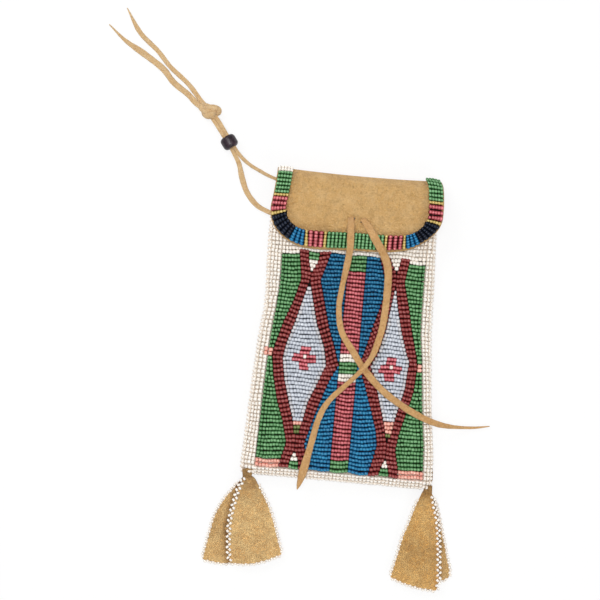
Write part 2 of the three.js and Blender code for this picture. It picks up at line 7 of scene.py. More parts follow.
import bmesh
import bpy
import numpy as np
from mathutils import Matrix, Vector


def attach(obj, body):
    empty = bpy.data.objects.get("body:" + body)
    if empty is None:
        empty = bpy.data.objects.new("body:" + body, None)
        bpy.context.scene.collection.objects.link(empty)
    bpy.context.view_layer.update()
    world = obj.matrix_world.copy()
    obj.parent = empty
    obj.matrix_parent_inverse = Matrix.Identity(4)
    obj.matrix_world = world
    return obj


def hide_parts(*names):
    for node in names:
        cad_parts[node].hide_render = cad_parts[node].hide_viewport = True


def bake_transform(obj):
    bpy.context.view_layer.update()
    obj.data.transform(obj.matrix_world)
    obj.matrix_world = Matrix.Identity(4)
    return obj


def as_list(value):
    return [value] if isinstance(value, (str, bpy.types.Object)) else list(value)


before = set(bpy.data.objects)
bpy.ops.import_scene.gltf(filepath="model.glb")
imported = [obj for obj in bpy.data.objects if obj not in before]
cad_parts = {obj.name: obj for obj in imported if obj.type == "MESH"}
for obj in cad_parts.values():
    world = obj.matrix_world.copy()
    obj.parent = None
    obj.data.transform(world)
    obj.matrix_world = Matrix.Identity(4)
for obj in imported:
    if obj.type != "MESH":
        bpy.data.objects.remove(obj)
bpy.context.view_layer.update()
dice = random.Random(11)

MM = 0.001

# Sizes of the pouch, in millimetres, as in its frame
HIDE = 1.2
BOTTOM, HINGE_Y, MOUTH_Y = -69.3, 63.1, 56.5
BORDER_BOTTOM = 4.06
FRONT_TOP, SEAM_TOP = 7.4, 2.7
FLAP_HALF, FLAP_BOTTOM, FLAP_CORNER, FLAP_TOP = 38.4, 35.2, 17.0, 12.2
FOLD_RADIUS = FLAP_TOP / 2
WRAP_WIDENS = 40
TIE_THICKNESS, TIE_DIAMETER = 1.15, 3.4
HANGER_THICKNESS, HANGER_DIAMETER = 1.1, 2.5
THONG_STEPS = 130

# Sizes of the beadwork
ROW, LANE_ROW, FINE_ROW = 1.78, 1.935, 1.72
BEAD_LENGTH, BEAD_WIDTH = 1.42, 1.69
FIELD_BOTTOM, FIELD_TOP, BEAD_TOP = BOTTOM + BORDER_BOTTOM, 33.4, 51.2
BAND, BAND_RIM = 6.6, 0.9
WHIP_LEVEL, WHIP_LENGTH, WHIP_WIDTH = 2.1, 1.3, 1.35
WHIP_OUT, WHIP_STEP = (-0.05, 0.15), (1.55, 1.95)


# Small tools

def clear_selection():
    if bpy.context.object and bpy.context.object.mode != "OBJECT":
        bpy.ops.object.mode_set(mode="OBJECT")
    bpy.ops.object.select_all(action="DESELECT")


def only(piece):
    clear_selection()
    piece.select_set(True)
    bpy.context.view_layer.objects.active = piece


def apply_modifiers(piece):
    only(piece)
    for modifier in list(piece.modifiers):
        bpy.ops.object.modifier_apply(modifier=modifier.name)


def select_faces(piece, test):
    """In edit mode: selects just the faces that pass a test."""
    bpy.ops.mesh.select_mode(type="FACE")
    bpy.ops.mesh.select_all(action="DESELECT")
    mesh = bmesh.from_edit_mesh(piece.data)
    for face in mesh.faces:
        if test(face):
            face.select_set(True)
    bmesh.update_edit_mesh(piece.data)


def jitter(amount):
    return dice.uniform(-amount, amount)


def step(t):
    t = min(1.0, max(0.0, t))
    return t * t * (3 - 2 * t)


def profile(points):
    """A reader of a list of pairs: it gives the second number at any value of the first."""
    firsts, seconds = zip(*sorted(points))
    return lambda value: float(np.interp(value, firsts, seconds))


def smooth_path(points, count):
    """Evenly spaced points on a smooth curve through the given ones."""
    given = np.array(points, float)
    ends = np.vstack([2 * given[0] - given[1], given, 2 * given[-1] - given[-2]])
    fine = []
    for i in range(1, len(ends) - 2):
        a, b, c, d = ends[i - 1:i + 3]
        ab, bc, cd = (max(np.linalg.norm(q - p), 1e-6) ** 0.5 for p, q in ((a, b), (b, c), (c, d)))
        m1 = bc * ((b - a) / ab - (c - a) / (ab + bc) + (c - b) / bc)
        m2 = bc * ((c - b) / bc - (d - b) / (bc + cd) + (d - c) / cd)
        for t in np.linspace(0, 1, 24, endpoint=False):
            h = t * t * (3 - 2 * t)
            fine.append(b * (1 - h) + c * h + m1 * t * (1 - t) ** 2 - m2 * t * t * (1 - t))
    fine.append(given[-1])
    fine = np.array(fine)
    length = np.concatenate([[0], np.cumsum(np.linalg.norm(np.diff(fine, axis=0), axis=1))])
    marks = np.linspace(0, length[-1], count)
    return np.column_stack([np.interp(marks, length, fine[:, k]) for k in range(3)])


def path_length(points):
    return float(np.linalg.norm(np.diff(points, axis=0), axis=1).sum())


# The pouch's form: its edges and those of its coloured field, as levels and places across

edge_left = profile([
    (63.1, -38.2), (40, -38.5), (30, -38.3), (20, -37.9), (12, -37.6), (6, -37.7), (0, -38.3), (-6, -39.0),
    (-20, -39.8), (-40, -40.7), (-60, -41.6), (-69.3, -42.0),
])
edge_right = profile([
    (63.1, 35.4), (35, 36.3), (20, 37.1), (0, 37.8), (-10, 38.7), (-30, 40.4), (-45, 42.3), (-52, 43.2),
    (-60, 43.9), (-69.3, 44.2),
])
field_left = profile([
    (51, -32.2), (31, -32.1), (22, -31.8), (14, -31.9), (6, -32.5), (0, -33.3), (-8, -33.9), (-20, -34.4),
    (-34, -35.0), (-60, -35.5), (-69.3, -35.8),
])
field_right = profile([
    (51, 32.0), (31, 32.2), (8, 32.6), (0, 32.9), (-12, 34.4), (-20, 35.3), (-30, 36.3), (-40, 37.4),
    (-50, 38.8), (-62, 39.6), (-69.3, 40.0),
])
# How far the flap's sides lie off their true place, by level
askew_left = profile([
    (75, 0.9), (66, 0.8), (62, 0.5), (57, 0.0), (52, -0.7), (47, -1.2), (43, -1.2), (36, -0.3),
])
askew_right = profile([
    (75, -2.9), (69.3, -2.5), (68.3, -1.9), (66.5, -1.3), (63, -0.8), (58, -0.2), (52, 0.2), (47, 0.1), (42, 0.0),
])
SLOT_DIMPLES = ((-2.9, 49.6), (3.0, 49.2))


def ripple(x, y):
    """The slow unevenness of soft hide."""
    return 0.16 * math.sin(x * 0.11 + 0.6) * math.cos(y * 0.083) + 0.1 * math.sin(x * 0.05 - y * 0.13 + 1.3)


def front_height(x, y):
    """How high the front hide lies: nearly flat in the middle, rounded down to the seams."""
    shoulder, roundness = 0.75, 2.7
    left = (field_left(y) - x) / (field_left(y) - edge_left(y))
    right = (x - field_right(y)) / (edge_right(y) - field_right(y))
    bottom = (FIELD_BOTTOM - y) / BORDER_BOTTOM
    falls = [((s + shoulder) / (1 + shoulder)) ** roundness if s > -shoulder else 0.0 for s in (left, right, bottom)]
    fall = min(1.0, math.sqrt(sum(f * f for f in falls)))
    return FRONT_TOP - fall * (FRONT_TOP - SEAM_TOP) + (1 - fall) * ripple(x, y)


def flap_rim(x, y):
    """How far a point of the flap lies from its rim."""
    cx, cy = FLAP_HALF - FLAP_CORNER, FLAP_BOTTOM + FLAP_CORNER
    if abs(x) > cx and y < cy:
        return FLAP_CORNER - math.hypot(abs(x) - cx, y - cy)
    return min(FLAP_HALF - abs(x), y - FLAP_BOTTOM)


def flap_height(x, y):
    """The flap's upper face: it droops at its rim, swells in its middle, and dips at the ties' slots."""
    clear = step((HINGE_Y - y) / 9)
    droop = 1.1 * (1 - step(flap_rim(x, y) / 10))
    swell = 0.5 * math.cos(x / FLAP_HALF * 1.4) * math.sin(min(1.0, (HINGE_Y - y) / 28) * math.pi)
    crease = 0.14 * math.sin(x * 0.21 + y * 0.34) * math.sin(y * 0.23 + 0.4)
    dimple = sum(0.5 * math.exp(-((x - sx) ** 2 + (y - sy) ** 2) / 9) for sx, sy in SLOT_DIMPLES)
    pinch = 0.35 * math.exp(-((x - 27.5 + 0.63 * (y - 59)) / 1.4) ** 2) * step((y - 46) / 10)
    return FLAP_TOP + clear * (swell + crease + pinch - droop - dimple)


def flap_plan(x, y):
    """The flap isn't cut true: its sides lean, it hangs lower on the left, and its right corner is rounder."""
    side = askew_left(y) * step((-x - 14) / 20) + askew_right(y) * step((x - 14) / 20)
    corner = 1.5 * math.exp(-((x - 33) ** 2 + (y - 40) ** 2) / 130)
    lift = 0.9 * step((x - 4) / 24) * (1 - step((y - 36) / 12))
    sag = 0.95 * step((4 - x) / 22) * (1 - step((y - 37) / 15))
    hem = 0.5 * step((24 - x) / 10) * step((x + 30) / 10) * (1 - step((y - 35) / 7))
    return x + side - corner, y + 0.8 * corner + lift - sag - hem


def lay_askew(piece):
    """Moves the points of a piece on the flap or the fold from the true plan to the real one."""
    for vertex in piece.data.vertices:
        x, y, z = vertex.co / MM
        if y > HINGE_Y:
            vertex.co.x = flap_plan(x, y)[0] * MM
        elif z > FOLD_RADIUS:
            vertex.co.x, vertex.co.y = (value * MM for value in flap_plan(x, y))
        else:
            vertex.co.x += (flap_plan(x, HINGE_Y)[0] - x) * step((y - WRAP_WIDENS) / (HINGE_Y - WRAP_WIDENS)) * MM


def normal_of(height, x, y):
    e = 0.2
    slope_x = (height(x + e, y) - height(x - e, y)) / (2 * e)
    slope_y = (height(x, y + e) - height(x, y - e)) / (2 * e)
    return Vector((-slope_x, -slope_y, 1)).normalized()


# Materials

MIX_FACTOR, MIX_FIRST, MIX_SECOND, MIX_RESULT = 0, 6, 7, 2


def linear(r, g, b):
    def one(c):
        c /= 255
        return c / 12.92 if c <= 0.04045 else ((c + 0.055) / 1.055) ** 2.4
    return (one(r), one(g), one(b), 1.0)


def add(tree, kind, values=None, **traits):
    """A new shader node with traits such as its operation, and with values on its sockets."""
    node = tree.nodes.new("ShaderNode" + kind)
    for trait, value in traits.items():
        setattr(node, trait, value)
    for socket, value in (values or {}).items():
        node.inputs[socket].default_value = value
    return node


def node_group(name, colours, outputs):
    """A new group that takes colours. Returns its tree, its input node and its output node."""
    tree = bpy.data.node_groups.new(name, "ShaderNodeTree")
    for label in colours:
        tree.interface.new_socket(label, in_out="INPUT", socket_type="NodeSocketColor")
    for label, kind in outputs.items():
        tree.interface.new_socket(label, in_out="OUTPUT", socket_type=kind)
    return tree, tree.nodes.new("NodeGroupInput"), tree.nodes.new("NodeGroupOutput")


def wire(tree, *links):
    """Joins nodes. A link is a node and its output, and the next node and its input."""
    for source, output, target, socket in links:
        tree.links.new(source.outputs[output], target.inputs[socket])


def suede_nap():
    """The nap of smoked hide: blotches, scuffs, a fine fibre grain, dark specks, and a darkening kept on the hide's
    points, which is dirt where it is handled and painted shade where shadow falls.
    """
    tree, given, made = node_group("suede_nap", ("Hide", "Smoke", "Scuff"),
                                   {"Color": "NodeSocketColor", "Height": "NodeSocketFloat"})
    place = add(tree, "TexCoord")

    def noise(scale, detail, rough, low, high):
        texture = add(tree, "TexNoise", {"Scale": scale, "Detail": detail, "Roughness": rough})
        span = add(tree, "MapRange", {"From Min": low, "From Max": high})
        wire(tree, (place, "Object", texture, "Vector"), (texture, "Fac", span, "Value"))
        return span

    blotch = noise(60, 3, 0.55, 0.42, 0.68)
    mottle = noise(420, 4, 0.65, 0.48, 0.62)
    fibre = noise(1500, 3, 0.7, 0.42, 0.6)
    speck = noise(800, 2, 0.5, 0.6, 0.7)
    rub = noise(210, 4, 0.6, 0.46, 0.64)
    patch = noise(330, 4, 0.6, 0.3, 0.56)
    colour = given, "Hide"
    for mask, amount, tint in ((blotch, 0.35, "Smoke"), (rub, 0.55, "Scuff"), (mottle, 0.5, "Smoke"),
                               (fibre, 0.55, "Scuff"), (speck, 0.5, "Smoke")):
        strength = add(tree, "Math", {1: amount}, operation="MULTIPLY")
        blend = add(tree, "Mix", data_type="RGBA")
        wire(tree, (mask, "Result", strength, 0), (strength, 0, blend, MIX_FACTOR), (*colour, blend, MIX_FIRST),
             (given, tint, blend, MIX_SECOND))
        colour = blend, MIX_RESULT
    # Darkening read from the hide's points: real dirt, and painted shade and shadow
    soil_and_shade = add(tree, "Attribute", attribute_name="soil_and_shade")
    patchy = add(tree, "Math", operation="MULTIPLY", use_clamp=True)
    grime_and_shade = add(tree, "Mix", {MIX_SECOND: linear(150, 128, 104)}, data_type="RGBA", blend_type="MULTIPLY")
    height = add(tree, "Math", operation="ADD")
    wire(tree, (soil_and_shade, "Fac", patchy, 0), (patch, "Result", patchy, 1), (patchy, 0, grime_and_shade, MIX_FACTOR),
         (*colour, grime_and_shade, MIX_FIRST), (grime_and_shade, MIX_RESULT, made, "Color"),
         (fibre, "Result", height, 0), (mottle, "Result", height, 1), (height, 0, made, "Height"))
    return tree


def bead_tone_and_shade():
    """Each bead's colour, mixed on its points between a painted shade at its rims and bore and a painted highlight at
    its crown, with a random brightness of its own.
    """
    tree, given, made = node_group("bead_tone_and_shade", ("Light", "Shade"), {"Color": "NodeSocketColor"})
    tone_and_shade = add(tree, "Attribute", attribute_name="tone_and_shade")
    blend = add(tree, "Mix", data_type="RGBA")
    wire(tree, (tone_and_shade, "Fac", blend, MIX_FACTOR), (given, "Shade", blend, MIX_FIRST),
         (given, "Light", blend, MIX_SECOND), (blend, MIX_RESULT, made, "Color"))
    return tree


SUEDE_NAP = suede_nap()
BEAD_TONE_AND_SHADE = bead_tone_and_shade()


def new_material(name, values=None):
    """A new material. Returns it with its node tree and its shader, which has the given values."""
    material = bpy.data.materials.new(name)
    material.use_nodes = True
    shader = material.node_tree.nodes["Principled BSDF"]
    for socket, value in (values or {}).items():
        shader.inputs[socket].default_value = value
    return material, material.node_tree, shader


def suede(name, hide, smoke, scuff, bump):
    material, tree, shader = new_material(name, {
        "Roughness": 0.95, "Specular IOR Level": 0.2, "Sheen Weight": 0.15, "Sheen Roughness": 0.5})
    shades = {"Hide": linear(*hide), "Smoke": linear(*smoke), "Scuff": linear(*scuff)}
    nap = add(tree, "Group", shades, node_tree=SUEDE_NAP)
    relief = add(tree, "Bump", {"Strength": bump, "Distance": 0.0004})
    wire(tree, (nap, "Height", relief, "Height"), (relief, "Normal", shader, "Normal"),
         (nap, "Color", shader, "Base Color"))
    return material


# A glass bead's colours: light is painted on its lit crown, deep is the painted shade on its flanks
def bead_glass(name, light, deep, roughness=0.25, gloss=0.3):
    material, tree, shader = new_material(name, {
        "Roughness": roughness, "IOR": 1.52, "Specular IOR Level": 0.2, "Coat Weight": gloss, "Coat Roughness": 0.1})
    tone_and_shade = add(tree, "Group", {"Light": linear(*light), "Shade": linear(*deep)}, node_tree=BEAD_TONE_AND_SHADE)
    wire(tree, (tone_and_shade, "Color", shader, "Base Color"))
    return material


HIDE_FINISH = suede("smoked_hide", (226, 179, 113), (184, 134, 71), (242, 204, 145), 0.8)
LEFT_LEAF_FINISH = suede("left_leaf_hide", (248, 197, 127), (202, 147, 82), (255, 222, 158), 0.9)
RIGHT_LEAF_FINISH = suede("right_leaf_hide", (241, 184, 106), (192, 134, 64), (252, 210, 138), 0.9)
BACK_LEAF_FINISH = suede("back_leaf_hide", (242, 193, 125), (196, 144, 80), (253, 217, 153), 0.9)
NECK_FINISH = suede("neck_hide", (188, 142, 82), (140, 96, 46), (210, 168, 106), 0.9)
TIE_FINISH = suede("tie_hide", (204, 156, 100), (172, 122, 70), (222, 182, 130), 0.5)
HANGER_FINISH = suede("hanger_hide", (216, 180, 130), (192, 146, 92), (230, 202, 160), 0.5)
# Painted shade: a near-black hide laid under the coloured beads, to be seen dark in the gaps between them
SHADED_GROUND = suede("shaded_ground", (30, 22, 18), (22, 16, 13), (38, 28, 22), 0.3)
# Painted light: a pale hide under the white beads, so the gaps between them look lit by light from the beads around
# them
PAINTED_LIGHT_GROUND = suede("painted_light_ground", (236, 222, 206), (214, 194, 174), (246, 236, 222), 0.3)

# By glass: the colour painted on the lit crown, then the painted shade on the flanks
GLASS = {
    "white": bead_glass("white_beads", (255, 252, 246), (248, 236, 222)),
    "green": bead_glass("green_beads", (140, 194, 139), (8, 86, 20)),
    "dark_red": bead_glass("dark_red_beads", (174, 94, 90), (108, 14, 18)),
    "rose": bead_glass("rose_beads", (245, 138, 145), (114, 2, 14)),
    "blue": bead_glass("blue_beads", (50, 138, 180), (0, 47, 90)),
    "lower_blue": bead_glass("lower_blue_beads", (57, 155, 200), (0, 56, 104)),
    "pale": bead_glass("pale_blue_beads", (230, 234, 242), (164, 170, 182)),
    "red": bead_glass("red_beads", (248, 146, 156), (142, 8, 22)),
    "pink": bead_glass("pink_beads", (255, 202, 184), (226, 136, 118)),
    "navy": bead_glass("navy_beads", (30, 38, 56), (3, 6, 16), 0.35, 0.12),
    "bright_blue": bead_glass("bright_blue_beads", (48, 144, 192), (0, 70, 122)),
    "yellow": bead_glass("yellow_beads", (232, 206, 132), (184, 152, 74)),
    "milk": bead_glass("milky_beads", (238, 237, 239), (182, 180, 186)),
    "ivory": bead_glass("ivory_beads", (255, 250, 242), (246, 232, 216)),
    "olive": bead_glass("olive_beads", (140, 150, 90), (70, 84, 38)),
}


def dark_wound_glass():
    """The thong's bead: dark glass with a faint warm swirl."""
    material, tree, shader = new_material("dark_wound_glass", {"Roughness": 0.4})
    place = add(tree, "TexCoord")
    swirl = add(tree, "TexNoise", {"Scale": 500, "Detail": 4, "Distortion": 1.2})
    ramp = add(tree, "ValToRGB")
    for stop, reach, shade in zip(ramp.color_ramp.elements, (0.4, 0.72), ((28, 15, 25), (60, 40, 51))):
        stop.position = reach
        stop.color = linear(*shade)
    wire(tree, (place, "Object", swirl, "Vector"), (swirl, "Fac", ramp, "Fac"), (ramp, "Color", shader, "Base Color"))
    return material


DARK_GLASS = dark_wound_glass()


def lamp(name, place, size, power):
    """A square lamp that looks at the pouch."""
    bpy.ops.object.light_add(type="AREA", location=place)
    light = bpy.context.object
    light.name = name
    light.data.size = size
    light.data.energy = power
    light.rotation_euler = (-Vector(place)).to_track_quat("-Z", "Y").to_euler()


def studio():
    """A pale floor, a soft lamp overhead and two at the sides, and a camera straight above."""
    clear_selection()
    bpy.ops.mesh.primitive_plane_add(size=6, location=(0, 0, -0.0003))
    floor = bpy.context.object
    floor.name = "floor"
    material, tree, shader = new_material("pale_floor")
    tree.nodes.remove(shader)
    paper = add(tree, "BsdfDiffuse", {"Color": (0.97, 0.97, 0.97, 1)})
    glow = add(tree, "Emission", {"Color": (1, 1, 1, 1)})
    seen = add(tree, "LightPath")
    rays = add(tree, "Math", operation="ADD")
    part = add(tree, "Math", {1: 0.8}, operation="MULTIPLY", use_clamp=True)
    mix = add(tree, "MixShader")
    wire(tree, (seen, "Is Camera Ray", rays, 0), (seen, "Is Glossy Ray", rays, 1), (rays, 0, part, 0),
         (part, 0, mix, 0), (paper, 0, mix, 1), (glow, 0, mix, 2), (mix, 0, tree.nodes["Material Output"], "Surface"))
    floor.data.materials.append(material)
    lamp("overhead_lamp", (-0.06, 0.06, 1.1), 0.5, 5.8)
    lamp("upper_left_lamp", (-0.6, 0.7, 0.8), 0.5, 3.3)
    lamp("lower_right_lamp", (0.6, -0.7, 0.8), 0.6, 2.2)
    world = bpy.data.worlds.new("soft_room")
    world.use_nodes = True
    world.node_tree.nodes["Background"].inputs["Color"].default_value = (1, 1, 1, 1)
    world.node_tree.nodes["Background"].inputs["Strength"].default_value = 0.4
    bpy.context.scene.world = world
    bpy.ops.object.camera_add(location=(-0.0223, 0.0104, 0.757), rotation=(0, 0, math.radians(5.2)))
    camera = bpy.context.object
    camera.name = "camera"
    camera.data.lens = 100
    camera.data.sensor_width = 36
    camera.data.clip_start = 0.05
    bpy.context.scene.camera = camera
    bpy.context.scene.view_settings.view_transform = "Standard"


studio()


def settle(piece, finishes, body, slot, *nodes):
    """Gives a finished piece its materials and its body, and hides the frame's parts that it stands for. The slot is
    not used.
    """
    piece.data.materials.clear()
    for finish in finishes:
        piece.data.materials.append(finish)
    if body:
        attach(piece, body)
    if nodes:
        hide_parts(*nodes)
    return piece


def mesh_piece(name, points, faces):
    """A new object from points in millimetres."""
    clear_selection()
    mesh = bpy.data.meshes.new(name)
    mesh.from_pydata([tuple(p) for p in np.asarray(points, float) * MM], [], faces)
    mesh.polygons.foreach_set("use_smooth", [True] * len(mesh.polygons))
    mesh.update()
    piece = bpy.data.objects.new(name, mesh)
    bpy.context.collection.objects.link(piece)
    return piece


# Thongs

def thong_section(corners=14, squareness=(0.45, 0.6)):
    """The outline of a flat thong, two units wide and high, with rounded corners."""
    section = []
    for i in range(corners):
        a = 2 * math.pi * i / corners
        section.append([math.copysign(abs(s) ** power, s) for s, power in zip((math.cos(a), math.sin(a)), squareness)])
    return section


def thong(name, path, widths, thickness, rolls):
    """A flat thong cut from hide: a strip that follows a path, with its width and its roll given along it."""
    tangents = np.gradient(path, axis=0)
    tangents /= np.linalg.norm(tangents, axis=1)[:, None]
    width_at, roll_at = profile(widths), profile(rolls)
    section = thong_section()
    n, count = len(section), len(path)
    corners, faces = [], []
    for k, (p, t) in enumerate(zip(path, tangents)):
        u = k / (count - 1)
        side = np.cross(t, (0, 0, 1))
        side /= np.linalg.norm(side)
        up = np.cross(side, t)
        roll = math.radians(roll_at(u))
        across = side * math.cos(roll) + up * math.sin(roll)
        over = up * math.cos(roll) - side * math.sin(roll)
        wide = width_at(u) / 2 * (1 + 0.05 * math.sin(k * 0.9) * math.sin(k * 0.37))
        deep = min(thickness / 2, wide)
        corners += [p + across * a * wide + over * b * deep for a, b in section]
    for k in range(count - 1):
        for i in range(n):
            j = (i + 1) % n
            faces.append((k * n + i, k * n + j, (k + 1) * n + j, (k + 1) * n + i))
    faces.append(tuple(range(n - 1, -1, -1)))
    faces.append(tuple((count - 1) * n + i for i in range(n)))
    piece = mesh_piece(name, corners, faces)
    only(piece)
    bpy.ops.object.mode_set(mode="EDIT")
    bpy.ops.mesh.select_all(action="SELECT")
    bpy.ops.mesh.normals_make_consistent(inside=False)
    bpy.ops.object.mode_set(mode="OBJECT")
    return piece


def lay_thong(name, route, widths, thickness, rolls, finish, body, node, diameter, **carried):
    """A thong along a route."""
    path = smooth_path(route, THONG_STEPS)
    piece = thong(name, path, widths, thickness, rolls)
    settle(piece, [finish], body, "thong", node)


# The ties: route, widths and rolls, from the flap's slot to the tip
TIES = {
    "left_tie": (
        [(-3.0, 51.0, 9.9), (-2.97, 50.2, 10.2), (-2.9, 49.2, 11.5), (-2.82, 48.2, 12.9), (-2.72, 46.4, 13.9),
         (-2.5, 43.4, 14.6), (-2.3, 39.3, 14.3), (-2.1, 35.8, 13.6), (-2.4, 31.0, 11.6), (-3.1, 25.0, 10.2),
         (-4.1, 17.0, 9.9), (-4.6, 8.3, 9.9), (-2.4, -2.0, 9.9), (3.7, -10.8, 9.9), (8.7, -17.5, 9.9),
         (18.6, -27.0, 9.9), (27.0, -32.4, 9.9), (34.2, -36.0, 9.9), (39.4, -38.1, 9.5), (44.6, -39.6, 7.6),
         (50.1, -40.4, 4.3), (56.4, -40.5, 1.7), (62.0, -40.1, 0.9), (68.6, -38.9, 0.7)],
        [(0, 2.2), (0.03, 2.8), (0.05, 3.2), (0.12, 3.2), (0.17, 3.0), (0.24, 2.5), (0.33, 2.6), (0.42, 2.9),
         (0.5, 3.1), (0.7, 3.1), (0.8, 2.9), (0.86, 2.2), (0.905, 1.4), (0.96, 1.1), (1, 0.4)],
        [(0, 0), (0.3, -4), (0.45, 5), (0.7, -4), (0.9, 6), (1, 0)],
    ),
    "right_tie": (
        [(1.4, 50.6, 9.9), (1.8, 50.0, 10.2), (2.4, 49.15, 11.4), (3.0, 48.3, 12.8), (4.3, 46.6, 13.9),
         (6.7, 43.4, 14.6), (9.4, 39.4, 14.3), (12.0, 35.6, 13.6), (14.4, 31.6, 11.8), (15.8, 27.2, 10.4),
         (16.3, 21.0, 9.9), (16.2, 10.3, 9.9), (15.6, 2.0, 9.9), (14.0, -6.2, 10.1), (11.9, -12.2, 11.0),
         (8.7, -17.5, 11.4), (4.7, -22.3, 11.0), (0.1, -27.3, 10.1), (-4.2, -32.0, 9.9), (-7.2, -36.6, 9.9),
         (-9.5, -43.0, 9.9), (-10.9, -50.0, 9.9), (-13.0, -61.0, 9.7), (-14.4, -68.2, 8.6), (-15.9, -74.6, 6.9)],
        [(0, 2.2), (0.03, 2.8), (0.05, 3.3), (0.12, 3.7), (0.25, 3.4), (0.35, 3.1), (0.45, 2.9), (0.52, 2.3),
         (0.58, 2.1), (0.65, 2.4), (0.75, 2.7), (0.85, 2.9), (0.92, 3.7), (0.955, 3.5), (0.985, 1.8), (1, 0.4)],
        [(0, 0), (0.25, 5), (0.5, -3), (0.8, 5), (1, 0)],
    ),
}
for tie, (tie_route, tie_widths, tie_rolls) in TIES.items():
    lay_thong(tie + "_thong", tie_route, tie_widths, TIE_THICKNESS, tie_rolls, TIE_FINISH, "flap", tie, TIE_DIAMETER)

BEAD_AT = np.array((-60.6, 78.6, 3.55))
KNOT_AT = np.array((-71.05, 91.8, 2.77))
STEM_WAY = np.array((-0.5933, 0.805, 0.0))
STEM_SIDE = np.array((0.805, 0.5933, 0.0))

# The hanger: strand from the pouch to the bead, tail from the knot to the tip, and widths
FLAT = [(0, 0)]
UPPER_STRAND = [(-35.6, 63.3, 2.4), (-38.6, 64.2, 1.9), (-42.0, 65.4, 1.1), (-45.1, 66.8, 0.8),
                (-50.3, 69.3, 1.5), (-54.3, 72.2, 2.6)]
UPPER_TAIL = [(-75.0, 96.1, 1.7), (-81.3, 103.1, 0.8), (-90.6, 110.6, 0.8), (-96.6, 117.0, 0.8),
              (-105.4, 124.6, 0.8), (-112.4, 135.3, 0.7)]
UPPER_WIDTHS = [(0, 1.5), (0.2, 1.7), (0.26, 1.65), (0.33, 1.7), (0.42, 1.8), (0.5, 2.2), (0.7, 2.1),
                (0.9, 2.2), (1, 0.4)]
LOWER_STRAND = [(-38.3, 48.3, 1.35), (-41.0, 49.2, 1.0), (-45.5, 51.3, 0.8), (-50.5, 56.6, 0.9),
                (-53.3, 62.7, 1.4), (-55.5, 69.6, 2.6)]
LOWER_TAIL = [(-76.6, 94.5, 1.7), (-81.2, 98.6, 0.8), (-88.4, 103.6, 0.8), (-93.4, 109.0, 0.8),
              (-102.8, 115.2, 0.8), (-112.0, 120.6, 0.8), (-119.8, 127.1, 0.7)]
LOWER_WIDTHS = [(0, 2.0), (0.08, 2.4), (0.2, 2.6), (0.3, 1.7), (0.38, 1.7), (0.46, 1.8), (0.54, 2.6),
                (0.7, 2.8), (0.85, 2.9), (0.93, 1.4), (1, 0.5)]


def hanger_route(strand, side, tail):
    """One strand of the hanger: from the pouch, through the bead and the knot, to its tail."""
    def on_stem(centre, ahead, apart):
        return centre + STEM_WAY * ahead + STEM_SIDE * side * apart
    through_bead = [on_stem(BEAD_AT, -4.9, 0.8), on_stem(BEAD_AT, 0, 0.8), on_stem(BEAD_AT, 4.2, 0.81)]
    through_knot = [on_stem(KNOT_AT, -4.6, 0.82) + (0.3, 0.4, 0.3), on_stem(KNOT_AT, 0, 0.5)]
    return [*strand, *through_bead, *through_knot, *tail]


def make_knot():
    """An overhand knot of the doubled thong: a thick band wound through itself and pulled tight."""
    long, broad, high = 4.4, 2.35, 1.05
    turns, turn = 36, math.radians(-10)
    clear_selection()
    bpy.ops.curve.primitive_bezier_circle_add(radius=1)
    wind = bpy.context.object
    wind.name = "hanger_knot"
    curve = wind.data
    curve.splines.clear()
    line = curve.splines.new("NURBS")
    line.points.add(turns - 1)
    for i in range(turns):
        t = 2 * math.pi * i / turns
        x = (math.sin(t) + 2 * math.sin(2 * t)) / 3 * long
        y = ((math.cos(t) - 2 * math.cos(2 * t)) / 3 + 0.155) * broad
        z = -math.sin(3 * t) * high
        place = (x * math.cos(turn) - y * math.sin(turn), x * math.sin(turn) + y * math.cos(turn), z)
        line.points[i].co = (*((np.array(place) + KNOT_AT) * MM), 1)
        line.points[i].radius = 1 + 0.12 * math.sin(2 * t + 0.8)
    line.use_cyclic_u = True
    line.order_u = 4
    curve.dimensions = "3D"
    curve.bevel_depth = 1.58 * MM
    curve.bevel_resolution = 3
    curve.resolution_u = 3
    wind.location = (0, 0, 0)
    bpy.ops.object.convert(target="MESH")
    bpy.ops.object.shade_smooth()
    return settle(wind, [HANGER_FINISH], "pouch", "thong")


def rounded_drum(vertices, radius, depth, rim, segments, inset, sunk):
    """A drum with bevelled rims and sunk ends, as the start of a bead. Its bore is along Z."""
    clear_selection()
    bpy.ops.mesh.primitive_cylinder_add(vertices=vertices, radius=radius, depth=depth)
    drum = bpy.context.object
    bpy.ops.object.mode_set(mode="EDIT")
    select_faces(drum, lambda face: abs(face.normal.z) > 0.9)
    bpy.ops.mesh.bevel(offset=rim, segments=segments, profile=0.5)
    select_faces(drum, lambda face: len(face.verts) > 4)
    bpy.ops.mesh.inset(thickness=inset)
    bpy.ops.transform.resize(value=(1, 1, sunk), center_override=(0, 0, 0))
    bpy.ops.object.mode_set(mode="OBJECT")
    return drum


def make_thong_bead():
    """A short barrel of dark glass with rounded, sunk ends."""
    bead = rounded_drum(28, 3.55 * MM, 5.8 * MM, 1.7 * MM, 6, 0.1 * MM, 0.6)
    bead.name = "dark_thong_bead"
    bpy.ops.object.shade_smooth()
    way = Vector(STEM_WAY).to_track_quat("Z", "Y")
    for vertex in bead.data.vertices:
        vertex.co = way @ vertex.co + Vector(BEAD_AT) * MM
    return settle(bead, [DARK_GLASS], "hanger_bead", "dark_bead", "thong_bead")


